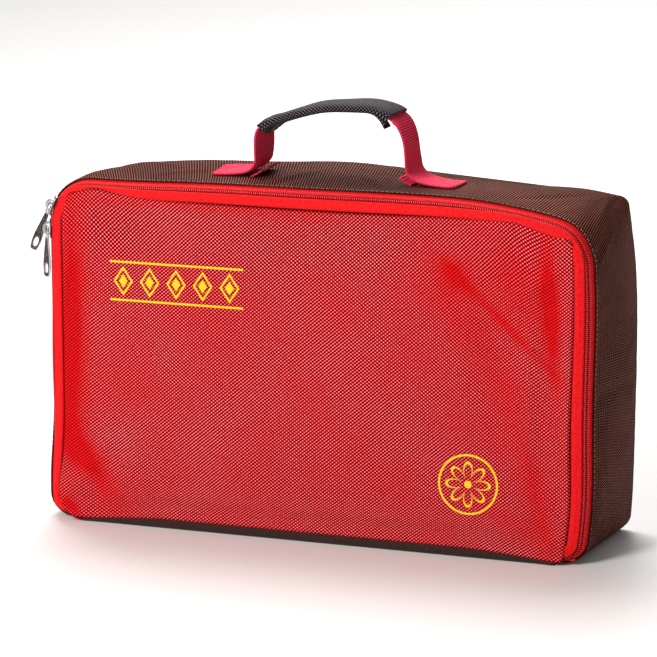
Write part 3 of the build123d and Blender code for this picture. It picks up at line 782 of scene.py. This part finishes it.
THREAD_PINK = "red_thread", PINK
FRAY_PINK = "red_webbing", PINK
THREAD_TAN = "brown_cloth", thread_paint("thread_tan", rgb(120, 100, 94), rgb(176, 158, 150))
# Webbing colours: painted shade in the grooves, the strap's own red, and painted highlights.
WEBBING = "red_webbing", webbing_paint("webbing_red", rgb(176, 8, 38), rgb(255, 52, 96), rgb(255, 150, 176))
SLEEVE = "sleeve_cloth", oxford_cloth("sleeve_black", rgb(12, 9, 10), rgb(34, 29, 31),
                                      rgb(142, 130, 134), 0.5, cell=(1.1, 1.1))
SILVER = "slider_metal", metal_paint("zip_silver", rgb(190, 190, 192), rgb(238, 238, 240), 0.2)
PULL = "pull_metal", metal_paint("pull_dark", rgb(26, 8, 7), rgb(224, 220, 218), 0.45, 0.0,
                                 rubbed_edges=True)
STOP_PAINT = metal_paint("stop_lacquer", rgb(120, 8, 14), rgb(170, 30, 36), 0.4)


# Walls

def wall_section(outer_inset, inner_inset, front, back, front_thick, steps):
    """A padded wall seen on end: the outer face from front to back, then the inner one back again,
    which is only front_thick behind the outer face at the front edge."""
    t = np.linspace(0, 1, steps)
    y = front + (back - front) * t
    outer = np.stack([np.full(steps, outer_inset), y], -1)
    outer[0, 0] += 0.35
    outer[-1, 0] += 0.45
    y_inner = y[::-1][1:-1]
    depth = front_thick + (inner_inset - outer_inset - front_thick) * ease(y_inner, front + 1, front + 7)
    depth = depth - 2.2 * ease(y_inner, back - 5, back)
    inner = np.stack([outer_inset + depth, y_inner], -1)
    return np.concatenate([outer, inner])


PAD_THICK, PAD_FRONT_THICK, PAD_BACK = 3.8, 1.1, 46.0


def gusset_points(steps, rows):
    """The gusset pad's points and uv, with this many steps from front to back and rows round."""
    section = wall_section(0.0, PAD_THICK, GUSSET_Y[0], PAD_BACK, PAD_FRONT_THICK, steps)
    return edge_points(section, rows, wave=gusset_wave)


GUSSET_STEPS, GUSSET_ROWS = 72, 560
TRIAL_STEPS, TRIAL_ROWS = 19, 150
points, uv = gusset_points(GUSSET_STEPS, GUSSET_ROWS)
trial, _ = gusset_points(TRIAL_STEPS, TRIAL_ROWS)
under_handle = (np.abs(np.abs(trial[..., 0]) - 58) < 24) & (trial[..., 2] > 190)
inside = np.arange(trial.shape[1]) >= TRIAL_STEPS
seams = (trial[..., 1] < -33) | (trial[..., 1] > 42) | (trial[..., 2] < 8)
swell = blown(trial, under_handle | inside | seams, pressure=1.6, slack=0.003, most=2.5)
points[:, :GUSSET_STEPS] += spread(swell[:, :TRIAL_STEPS], GUSSET_ROWS, GUSSET_STEPS)
gusset = tube_piece("gusset_shell", points, uv, "root", BROWN, ("gusset_strip", "gusset_foam"))
edge_strip("gusset_lining_cloth", wall_section(4.5, 5.0, -31.5, 40.6, 0.4, 30), 300, "root", LINING,
           ("gusset_lining",), wave=lambda s, y: np.clip(gusset_wave(s, y), -9, 0) * 0.5)


def bottom_face(x, y):
    """Rise of the bottom's under side above the table: a little, away from where it bears."""
    return 0.5 * ease(156 - np.abs(x), 6, 60) * ease(y, -40, -10) * ease(-y, -42, -20)


def sheet_grid(x_range, y_range, cols, rows, low, high):
    """A plate between two height functions of x and y, as a tube of rows along x."""
    x, y = np.linspace(*x_range, cols)[:, None], np.linspace(*y_range, rows)
    points = np.concatenate([joined(x, y, low(x, y)), joined(x, y, high(x, y))[:, ::-1]], 1)
    flat = points[..., :2] + points[..., 2:] * (0.0, 1.0)
    return points, np.concatenate([flat, flat[:, :1]], 1)


points, uv = sheet_grid(BOTTOM_X, (-45.0, 45.4), 120, 40, bottom_face,
                        lambda x, y: 1.0 + bottom_face(x, y) + 2.9 * ease(y, -41.4, -40.4))
points[..., 0] *= 1 - 0.07 * ease(-points[..., 1], 30, 44) * ease(np.abs(points[..., 0]), 110, 155)
bottom = tube_piece("bottom_shell", settle(points), uv, "root", BROWN, ("bottom_gusset", "bottom_board"))
points, uv = sheet_grid(BOTTOM_X, (-40.8, 40.6), 40, 16, lambda x, y: 4.2 + 0 * x,
                        lambda x, y: 4.8 + 0.25 * np.sin(x / 19) * np.sin(y / 13) ** 2)
tube_piece("bottom_lining_cloth", settle(points), uv, "root", LINING, ("bottom_lining",))

# The back
points, uv, _ = slab_points(
    HALF_WIDTH - 0.3, 0.3, HEIGHT - 0.3,
    lambda x, z, rim: BACK_Y - 5.0 + 3.4 * (1 - np.clip(rim / 4, 0, 1)) ** 2,
    lambda x, z, rim: BACK_Y - 1.3 * (1 - np.clip(rim / 2.4, 0, 1)) ** 2
    + 0.7 * ease(rim, 3, 50) * (0.6 + 0.4 * np.sin(x / 37) * np.sin(z / 31 + 1)),
    corner=5.0, low_corners=(10.0, 10.0))
back = tube_piece("back_pad", settle(points), uv, "root", BROWN, ("back_panel", "back_board"))
points, uv, _ = slab_points(
    165.0, 5.0, 205.0, lambda x, z, rim: 40.7 + 0.15 * np.sin(x / 21 + z / 17),
    lambda x, z, rim: 41.2 + 0 * x, corner=9.0, low_corners=(6.0, 6.0), rows=60, cols=90)
tube_piece("back_lining_cloth", settle(points), uv, "root", LINING, ("back_lining",))
edge_strip("back_seam_tape", ribbon_section([(5.6, 35.6), (5.5, 38.0), (5.6, 40.5)], 1.1), 300, "root",
           BINDING, ("back_seam_binding",))

# The zip's two halves and the band: each strip's line as inset and depth, and its thickness

ZIP_SPAN, BAND_SPAN = (-0.003, 1.003), (-0.026, 1.02)
gusset_tape = ribbon_section([chain_spot(-0.5, -0.35), chain_spot(-3.0, -0.35), chain_spot(-5.4, -0.35),
                              (1.5, -36.0), (1.55, -32.6)], 0.7)
front_tape = ribbon_section([chain_spot(0.5, -0.35), chain_spot(3.0, -0.4), (7.6, -44.4),
                             (8.6, -44.7)], 0.6)
band = ribbon_section([chain_spot(2.9, 0.1), chain_spot(3.5, 0.5), (7.2, -45.5), (8.8, -46.1),
                       (10.3, -46.2), (11.2, -45.8), (11.8, -44.2)], 0.95, fullness=8.0)
seam_tape = ribbon_section([(8.7, -43.7), (10.4, -43.6), (12.0, -43.7)], 1.6)
edge_strip("gusset_zip_ribbon", gusset_tape, 520, "root", TAPE_RED, ("gusset_zip_tape",), span=ZIP_SPAN)
edge_strip("front_zip_ribbon", front_tape, 520, "front_flap", TAPE_RED, ("front_zip_tape",), flap=1.0,
           span=ZIP_SPAN)
edge_strip("front_band", band, 620, "front_flap", BAND_RED, ("front_zip_binding",), flap=1.0,
           span=BAND_SPAN, around_panel=True)
edge_strip("front_seam_tape", seam_tape, 300, "front_flap", BINDING, ("front_seam_binding",), flap=1.0)


# A step along the edge, as a share of it, to the next spot: it gives the way the edge runs
NEXT = 1e-4


def coil_piece(name, side, body, replaces):
    """A monofilament wound round the tape's edge: across and out follow an oval while along the edge
    it moves one pitch a turn, and a thin tube with a five-sided section follows that line."""
    steps = 8
    turns = even_along(1.0, 1.0, COIL_PITCH)
    phase = np.arange(len(turns) * steps) / steps
    along = np.interp(phase + (0.5 if side > 0 else 0.0), np.arange(len(turns)), turns)
    angle = 2 * math.pi * phase
    reach = 1.3 + 0.08 * np.cos(angle)
    across = side * (1.2 - reach * np.cos(angle))
    out = 0.62 + 0.52 * np.sin(angle)
    inset, y = chain_spot(across, out)
    line = outline(along, inset, y)
    tangent = unit(np.gradient(line, axis=0))
    ahead = outline(np.clip(along + NEXT, 0, 1), CHAIN_INSET, CHAIN_Y)
    ahead = ahead - outline(along - NEXT, CHAIN_INSET, CHAIN_Y)
    first = unit(np.cross(tangent, unit(ahead)))
    second = np.cross(tangent, first)
    ring = around(5)
    thick = (0.3 + 0.07 * np.cos(angle))[:, None, None]
    points = line[:, None] + thick * (np.cos(ring)[None, :, None] * first[:, None]
                                      + np.sin(ring)[None, :, None] * second[:, None])
    uv = joined(phase[:, None] * 5.0, np.linspace(0, 1.6, 6))
    points = settle(points, max(side, 0))
    return tube_piece(name, points, uv, body, COIL_RED, replaces)


coil_piece("gusset_zip_spiral", -1, "root", ("gusset_zip_coil",))
coil_piece("front_zip_spiral", 1, "front_flap", ("front_zip_coil",))


def stitch_piece(name, centres, ahead, up, size, body, stuff, replaces=()):
    """A row of stitches. Each is a grain of three rings and two poles. Its outline is half its
    length times the cosine and half its width or height times the sine of the angle from its tip."""
    length, width, height = size
    ahead = unit(ahead)
    side = unit(np.cross(up, ahead))
    up = np.cross(ahead, side)
    tips, ring = np.radians([0, 45, 90, 135, 180])[:, None], around(6)
    shape = joined(np.cos(tips) * length, np.sin(tips) * np.cos(ring) * width,
                   np.sin(tips) * np.sin(ring) * height) / 2
    count = len(centres)
    grid = centres[:, None, None] + shape @ np.stack([ahead, side, up], 1)[:, None]
    poles = grid[:, [0, 4], 0]
    rings = grid[:, 1:4]
    vertices = np.concatenate([poles[:, :1], rings.reshape(count, 18, 3), poles[:, 1:]], 1)
    faces = [[0, 1 + (k + 1) % 6, 1 + k] for k in range(6)]
    faces += [[1 + r * 6 + k, 1 + r * 6 + (k + 1) % 6, 7 + r * 6 + (k + 1) % 6, 7 + r * 6 + k]
              for r in range(2) for k in range(6)]
    faces += [[19, 13 + k, 13 + (k + 1) % 6] for k in range(6)]
    local_uv = np.concatenate([[[0, 0]], np.stack([np.repeat([0.5, 1.0, 1.5], 6) * length / 2,
                                                   np.tile(np.arange(6), 3) * 0.2], -1), [[length, 0]]])
    every = [[20 * k + i for i in face] for k in range(count) for face in faces]
    loops = np.tile(np.concatenate([local_uv[face] for face in faces]), (count, 1))
    return add_piece(name, vertices, every, loops, body, stuff, replaces)


def gusset_stitches(y, pitch, size, start, lift):
    """Stitches in a row near the gusset's front edge, lifted a little off its cloth."""
    along = even_along(start, start, pitch, 0.0, y)
    inset = gusset_wave(along * EDGE_LENGTH, y) - lift
    here = settle(outline(along, inset, y))
    there = settle(outline(along + 4 * NEXT, inset, y))
    deeper = settle(outline(along, inset + 1.0, y))
    return stitch_piece("gusset_edge_stitches", here, there - here, here - deeper, size, "root",
                        THREAD_TAN)


def coil_threads(name, side, body, flap):
    """The thread that holds a coil to its tape: one short slanted turn over each turn of the coil."""
    along = even_along(1.6, 1.6, COIL_PITCH) + (0.0 if side > 0 else 0.5 * COIL_PITCH / EDGE_LENGTH)
    near = settle(outline(along, *chain_spot(side * 0.75, 1.2)), flap)
    far = settle(outline(along + 0.5 / EDGE_LENGTH, *chain_spot(side * 2.0, 1.2)), flap)
    out = settle(outline(along, *chain_spot(side * 0.75, 2.2)), flap) - near
    return stitch_piece(name, (near + far) / 2, far - near, out, (1.7, 0.66, 0.5), body, THREAD_RED)


coil_threads("gusset_coil_thread", -1, "root", 0.0)
coil_threads("front_coil_thread", 1, "front_flap", 1.0)
gusset_stitches(y=-36.3, pitch=3.1, size=(1.7, 0.5, 0.34), start=16.0, lift=0.05)

# Front panel

PANEL_ARCH = 4.0


def front_face(x, z, rim):
    """Depth of the panel's face: it rolls back to the seam over its last 2.6 mm."""
    roll = 1 - np.sqrt(np.clip(1 - (1 - np.clip(rim / 2.6, 0, 1)) ** 2, 0, 1))
    return FRONT_Y + 0.25 + 2.6 * roll


def front_points(rows, cols):
    """The front pad's points where the bag has them; its foot is arched up off the table."""
    points, uv, rim = slab_points(
        PANEL_HALF, PANEL_FOOT, PANEL_TOP, front_face,
        lambda x, z, rim: FRONT_Y + 3.9 - 1.2 * (1 - np.clip(rim / 4, 0, 1)), corner=9.0,
        low_corners=PANEL_FOOT_CORNERS, rows=rows, cols=cols)
    points = corner_pull(settle(points, 1.0), 1.0)
    x, _, z = np.moveaxis(points, -1, 0)
    points[..., 2] += PANEL_ARCH * ease(158 - np.abs(x), 0, 70) ** 0.8 * ease(-z, -30, -1)
    return points, uv, rim


FRONT_ROWS, FRONT_COLS = 180, 260
TRIAL_ROWS, TRIAL_COLS = 44, 66
points, uv, rim = front_points(FRONT_ROWS, FRONT_COLS)
trial, _, trial_rim = front_points(TRIAL_ROWS, TRIAL_COLS)
behind = np.arange(trial.shape[1]) >= TRIAL_COLS
swell = blown(trial, behind | (trial_rim < 3.5), pressure=0.5, slack=0.0008, most=3.5)
points[:, :FRONT_COLS] += spread(swell[:, :TRIAL_COLS], FRONT_ROWS, FRONT_COLS)
# seam rises from 0 at 2 mm in from the panel's rim to 1 at 0.8 mm, and marks where painted shade darkens
# the groove at the seam.
front = tube_piece("front_pad", points, uv, "front_flap", RED_PANEL,
                   ("front_panel", "front_foam"), {"seam": ease(-rim, -2.0, -0.8).ravel()})
points, uv, _ = slab_points(
    160.9, 4.6, 200.9, lambda x, z, rim: -42.2 + 0 * x,
    lambda x, z, rim: -41.75 + 0.12 * np.sin(x / 15 + z / 23), corner=19.0, low_corners=(5.0, 5.0),
    rows=60, cols=90)
tube_piece("front_lining_cloth", settle(points, 1.0), uv, "front_flap", LINING, ("front_lining",))

# The cloth hinge along the bottom of the front: its line as depth and height
section = ribbon_section([(-43.6, 0.35), (-44.9, 0.3), (-45.5, 0.9), (-45.55, 2.2), (-45.3, 4.0),
                          (-45.0, 6.5), (-44.9, 9.0)], 0.7)
x = np.linspace(-148, 148, 150)
height = section[:, 1] * (1 - 0.75 * ease(np.abs(x), 132, 146))[:, None]
points = joined(x[:, None], section[:, 0], height)
hinge_fold = tube_piece("hinge_fold", points, section_uv(x, section), None, BINDING,
                        ("hinge_seam_binding",))
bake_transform(hinge_fold)

# Handle

# The webbing's middle line seen from the front, as x and z: left foot, leg, grip, leg, right foot
STRAP_LINE = (
    (-75.5, 211.0), (-66, 211.2), (-58, 212.0), (-52, 213.6), (-48.2, 217.4), (-46.8, 222.5), (-46.3, 229),
    (-46.2, 235), (-44.8, 239.6), (-41, 242.6), (-35, 245.4), (-27.4, 248.4), (-15.3, 252.1), (0.7, 254.6),
    (12, 255.3), (25.6, 254.6), (33.5, 252.0), (38.6, 247.8), (42.0, 242.0), (44.0, 235.5), (44.8, 229),
    (46.0, 222), (47.8, 217), (52, 213.6), (58, 212.0), (66, 211.2), (75.5, 211.0),
)


def smooth_line(points, count):
    """A line through the points: a natural cubic spline of each part over the distance from point to
    point, walked in equal steps. Gives the distances, the places and the unit normals."""
    points = np.asarray(points, float)
    chord = walked(points)
    fine = np.linspace(0, chord[-1], 6000)
    line = np.stack([spline(fine, chord, points[:, k]) for k in (0, 1)], -1)
    even = np.linspace(0, walked(line)[-1], count)
    line = places(line, even)
    return even, line, across_line(line)


def rib_height(y):
    return 0.1 * np.cos(2 * math.pi * y / WEBBING_PITCH)


def webbing_piece():
    """The strap in one strip. Across it the thickness is that of a flat band with round edges, with
    a cosine rib every pitch; along it the legs are cupped, and the two ends are rounded off."""
    s, line, normal = smooth_line(STRAP_LINE, 260)
    half = STRAP_WIDTH / 2
    y = np.linspace(-half, half, 125)
    thick = STRAP_THICK / 2 * np.sqrt(np.clip(1 - np.abs(y / half) ** 16, 0, None))
    thick = thick + 1.2 * rib_height(y) * (thick > 0.3)
    y_round = np.concatenate([y, y[-2:0:-1]])
    rise = np.concatenate([thick, -thick[-2:0:-1]])
    end = np.minimum(s, s[-1] - s)
    narrow = 1 - 0.16 * (1 - np.clip(end / 4, 0, 1)) ** 2
    cup = ease(line[:, 1], 216, 228) * ease(-line[:, 1], -252, -244)
    across = y_round[None] * narrow[:, None]
    off = rise[None] + (0.9 * cup)[:, None] * (across / half) ** 2
    off = off + 0.5 * np.sin(s / 9)[:, None] * cup[:, None] * across / half
    x = line[:, :1] + normal[:, :1] * off
    z = line[:, 1:] + normal[:, 1:] * off
    z = z + (top_height(x, across) - HEIGHT) * (1 - ease(line[:, 1:], 212, 236))
    points = np.stack([x, across, z], -1)
    uv = joined(s[:, None], np.append(y_round, y_round[0]))
    return tube_piece("handle_webbing", points, uv, None, WEBBING,
                      ("handle_strap", "handle_left_foot", "handle_right_foot"))


strap = webbing_piece()
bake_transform(strap)


def scatter(count, salt):
    """Even numbers between 0 and 1 that look random: the fraction of a large sine."""
    value = np.sin((np.arange(count) + 1) * 12.9898 + salt) * 43758.5453
    return value - np.floor(value)


SLEEVE_HALF_WIDTH, SLEEVE_HALF_THICK, LIP_DROP, CLOTH_HALF = 15.9, 2.5, 5.0, 0.45


def sleeve_piece():
    """The sleeve: a flattened ring round the strap, open along its underside, carried along the
    grip. Its section is a superellipse; the left end is puckered, and at the right end the mouth
    flares and its lower lip hangs down."""
    s, line, normal = smooth_line(STRAP_LINE, 900)
    first = np.argmax((line[:, 1] > 240.2) & (line[:, 0] < 0))
    last = len(s) - np.argmax((line[::-1, 0] < 36.0) & (line[::-1, 1] > 240)) - 1
    u = np.linspace(0, 1, 130)[:, None]
    gap = math.radians(1.5)
    angle = np.linspace(-math.pi / 2 + gap, 1.5 * math.pi - gap, 70)
    cos, sin = np.cos(angle), np.sin(angle)
    grid = []
    for wall in (CLOTH_HALF, -CLOTH_HALF):
        width = SLEEVE_HALF_WIDTH + wall + 0.7 * ease(u, 0.9, 1) - 1.0 * ease(-u, -0.08, 0)
        thick = SLEEVE_HALF_THICK + wall + 0.5 * ease(u, 0.86, 1) + 1.2 * ease(-u, -0.12, 0)
        y, n = width * powered(cos, 0.45), thick * powered(sin, 0.7)
        lip = LIP_DROP * ease(u, 0.82, 1) ** 1.5 * np.clip(-sin, 0, 1) ** 0.4 * (0.62 - 0.38 * cos)
        pucker = 0.5 * np.sin(5 * angle + 1) * ease(-u, -0.16, 0) + 0.18 * np.sin(17 * u + 2 * cos)
        n = n - lip + pucker
        grid.append(joined(u, y, n))
    grid = np.concatenate([grid[0], grid[1][:, ::-1]], 1)
    reach = 2.5 * ease(grid[..., 0], 0.85, 1) * np.clip(-grid[..., 2] / 6, 0, 1)
    there = s[first] + (s[last] - s[first]) * grid[..., 0] + reach
    x, z = [np.interp(there, s, line[:, k]) + np.interp(there, s, normal[:, k]) * grid[..., 2]
            for k in (0, 1)]
    points = np.stack([x, grid[..., 1], z], -1)
    across = section_uv(s[[first]], grid[len(u) // 2, :, 1:])[0, :, 1]
    uv = joined(np.append(there, there[:, :1], 1), across)
    tube_piece("grip_sleeve", points, uv, "handle", SLEEVE, ("handle_grip_sleeve",))
    return points


def fibres(name, roots, heading, length, body, stuff):
    """Loose fibre ends: one thin grain at each root, along its heading plus a scattered lean."""
    count = len(roots)
    lean = np.stack([scatter(count, k) - 0.5 for k in (1.0, 2.0, 3.0)], -1) * 1.3
    way = unit(heading + lean)
    up = np.cross(way, [0.3, 0.5, 0.8])
    return stitch_piece(name, roots + way * length / 2, way, up, (length, 0.16, 0.16), body, stuff)


sleeve = sleeve_piece()
picks = np.linspace(4, 125, 90).astype(int)
fibres("sleeve_fibres", sleeve[picks, np.where(np.arange(90) % 2, 0, 69)], np.array([0.0, 0.0, -1.0]), 0.9,
       "handle", SLEEVE)


FOOT_STITCH_PITCH = 2.9


def foot_stitches():
    """Dashes round each foot, a short way in from its edges, and across it by the leg."""
    row_x, row_y = np.arange(52.0, 71.0, FOOT_STITCH_PITCH), np.arange(-9.6, 10, FOOT_STITCH_PITCH)
    rows = [joined(row_x, y, 1.0, 0.0) for y in (-12.2, 12.2)]
    rows += [joined(x, row_y, 0.0, 1.0) for x in (50.4, 71.8)]
    both = np.concatenate([row * (side, 1, 1, 1) for side in (-1, 1) for row in rows])
    x, y = both[:, 0], both[:, 1]
    centres = joined(x, y, top_height(x, y) + 1.95)
    ways = joined(both[:, 2], both[:, 3], 1e-3)
    up = np.broadcast_to((0.0, 0.0, 1.0), ways.shape)
    stitch_piece("foot_stitches", centres, ways, up, (2.0, 0.6, 0.5), "root",
                 THREAD_PINK, ("handle_foot_stitching",))


def tail_height(x, y):
    """Under side of a strap's cut end: it curls up from the top as it goes inwards."""
    return top_height(x, y) + 3.8 * np.clip((50 - np.abs(x)) / 7, 0, 1) ** 1.5


foot_stitches()
for side in (-1, 1):
    x_range = sorted((side * 43.0, side * 50.0))
    points, uv = sheet_grid(x_range, (-14.6, 14.6), 12, 80, lambda x, y: tail_height(x, y) + 0.1,
                            lambda x, y: tail_height(x, y) + 1.15 + rib_height(y))
    name = "strap_tail_left" if side < 0 else "strap_tail_right"
    tube_piece(name, points, uv, "root", WEBBING)
    ends = np.linspace(-14.2, 14.2, 46)
    roots = np.stack([np.full(46, side * 43.2), ends, tail_height(side * 43.2, ends) + 0.6], -1)
    fibres(name + "_fray", roots, np.array([-1.0 * side, 0.0, 0.1]), 1.6, "root", FRAY_PINK)
    x_range = sorted((side * 37.0, side * 79.0))
    points, uv = sheet_grid(x_range, (-18, 18), 24, 20, lambda x, y: top_height(x, y) - 6.9,
                            lambda x, y: top_height(x, y) - 6.1)
    tube_piece("patch_left" if side < 0 else "patch_right", points, uv, "root", BINDING,
               ("handle_backing_patches",) if side < 0 else ())

# Pulls

def ring_piece(name, points, body, stuff, replaces, attributes=None):
    """A ring from a grid of points that closes up both ways."""
    rows, cols = points.shape[:2]
    quads, corners = tube_faces(rows, cols, ring=True)
    uv = joined(np.arange(rows + 1.0)[:, None], np.arange(cols + 1.0)).reshape(-1, 2)
    return add_piece(name, points, quads, uv[corners].reshape(-1, 2), body, stuff, replaces, attributes)


def pull_pieces(name, pivot, across, down, turn_deg):
    """A pull that hangs from its pivot. The eye is an oval ring of round wire. The tab is swept
    between its oval hole and its drop-shaped rim, with a raised bead round both; turn_deg is how far
    it has twisted about its own length."""
    pivot, across, down = (np.array(v, float) for v in (pivot, across, down))
    down = unit(down)
    across = unit(across - down * (across @ down))

    def placed(a, d, n, share):
        angle = math.radians(turn_deg * share)
        side = across * math.cos(angle) + np.cross(down, across) * math.sin(angle)
        face = np.cross(side, down)
        return pivot + a[..., None] * side + d[..., None] * down + n[..., None] * face

    u, ring = around(48)[:, None], around(10)
    wire = 0.62
    a = powered(np.cos(u), 0.75) * (1.75 + wire * np.cos(ring))
    d = 2.2 + np.sin(u) * (3.3 + wire * np.cos(ring))
    n = np.broadcast_to(wire * np.sin(ring), a.shape)
    ring_piece(name + "_eye_ring", placed(a, d, n, 0.5), name, SILVER, (name + "_eye",))

    u = around(72)[:, None]
    rim_d = 17.2 - 12.4 * np.cos(u)
    rim_a = (1.6 + 1.6 * ease(rim_d, 6, 26)) * powered(np.sin(u), 0.35)
    hole_d, hole_a = 24.2 - 2.7 * np.cos(u), 1.5 * np.sin(u)
    bead = np.array([(0, 0.3), (0.22, 0.6), (0.45, 0.36)])
    width = np.hypot(rim_a - hole_a, rim_d - hole_d)
    inner, outer = bead[None, :, 0] / width, 1 - bead[None, ::-1, 0] / width
    q = np.concatenate([inner, outer, outer[:, ::-1], inner[:, ::-1]], 1)
    n = np.concatenate([bead[:, 1], bead[::-1, 1], -bead[:, 1], -bead[::-1, 1]])[None]
    points = placed(hole_a + (rim_a - hole_a) * q, hole_d + (rim_d - hole_d) * q, n + 0 * u, 1.0)
    edge = np.broadcast_to(np.abs(n) != bead[-1, 1], points.shape[:2]).astype(float)
    ring_piece(name + "_tab_plate", points, name, PULL, (name + "_tab",), {"edge": edge.ravel()})


joints = {joint["name"]: joint for joint in frame["record"]["behaviour"]["joints"]}
lower, upper = joints["lower_pull_swing"], joints["upper_pull_swing"]
pull_pieces("lower_pull", np.array(lower["pos_m"]) / MM, lower["axis"], (-0.02, 0, -1), -35)
pull_pieces("upper_pull", np.array(upper["pos_m"]) / MM, upper["axis"], (-0.37, -0.05, -0.93), -62)

# Nodes of the part that stay

kept = {name + part: SILVER[1] for name in ("lower_", "upper_") for part in ("slider_body", "slider_bail")}
for node, material in {**kept, "zip_end_stops": STOP_PAINT}.items():
    frame["nodes"][node].data.materials.clear()
    frame["nodes"][node].data.materials.append(material)

# Stage, light and camera

mesh = bpy.data.meshes.new("floor")
mesh.from_pydata([(-6, -6, 0), (6, -6, 0), (6, 6, 0), (-6, 6, 0)], [], [[0, 1, 2, 3]])
mesh.materials.append(Paint("floor_paint").finish(rgb(232, 230, 228), 0.6))
floor = new_object("floor", mesh)


def area_light(name, place, aim, size, power, colour=(1, 1, 1)):
    """A square soft light at place, facing aim."""
    data = bpy.data.lights.new(name, "AREA")
    data.shape, data.size, data.energy, data.color = "SQUARE", size, power, colour
    light = new_object(name, data)
    light.visible_camera = False
    light.location = place
    heading = np.array(aim) - np.array(place)
    from_axis = math.atan2(heading[1], heading[0])
    tilt = math.atan2(heading[2], math.hypot(heading[0], heading[1]))
    light.rotation_euler = (math.pi / 2 + tilt, 0, from_axis - math.pi / 2)


area_light("key", (-0.9, -2.1, 1.6), (0, 0, 0.1), 0.7, 62, (1.0, 0.98, 0.96))
area_light("fill", (1.9, -1.2, 1.0), (0, 0, 0.1), 1.4, 2.6, (1.0, 0.97, 0.94))
area_light("top", (-0.5, 0.8, 2.0), (0, 0, 0.1), 1.2, 48)
area_light("back", (-0.66, 1.84, 0.75), (0, 0, 0.2), 0.9, 2.5)
area_light("far_floor", (-0.6, 3.0, 1.6), (-0.9, 3.2, 0), 2.6, 44)
world = bpy.data.worlds.new("studio")
world.use_nodes = True
sky = world.node_tree.nodes["Background"].inputs
sky["Color"].default_value, sky["Strength"].default_value = (0.93, 0.94, 0.96, 1), 0.24
bpy.context.scene.world = world
bpy.context.scene.view_settings.view_transform = "Standard"

AZIMUTH, ELEVATION = math.radians(19.8), math.radians(11.7)
RANGE, SIDE, UP = 1.9856, -0.0061, 0.118
right = np.array([math.cos(AZIMUTH), math.sin(AZIMUTH), 0])
back_way = np.array([math.sin(AZIMUTH) * math.cos(ELEVATION), -math.cos(AZIMUTH) * math.cos(ELEVATION),
                     math.sin(ELEVATION)])
up = np.cross(back_way, right)
camera_data = bpy.data.cameras.new("camera")
camera_data.lens = 180.0
camera_data.sensor_width = 36.0
camera = new_object("camera", camera_data)
camera.location = right * SIDE + up * UP + back_way * RANGE
camera.rotation_euler = (math.pi / 2 - ELEVATION, 0, AZIMUTH)
bpy.context.scene.camera = camera
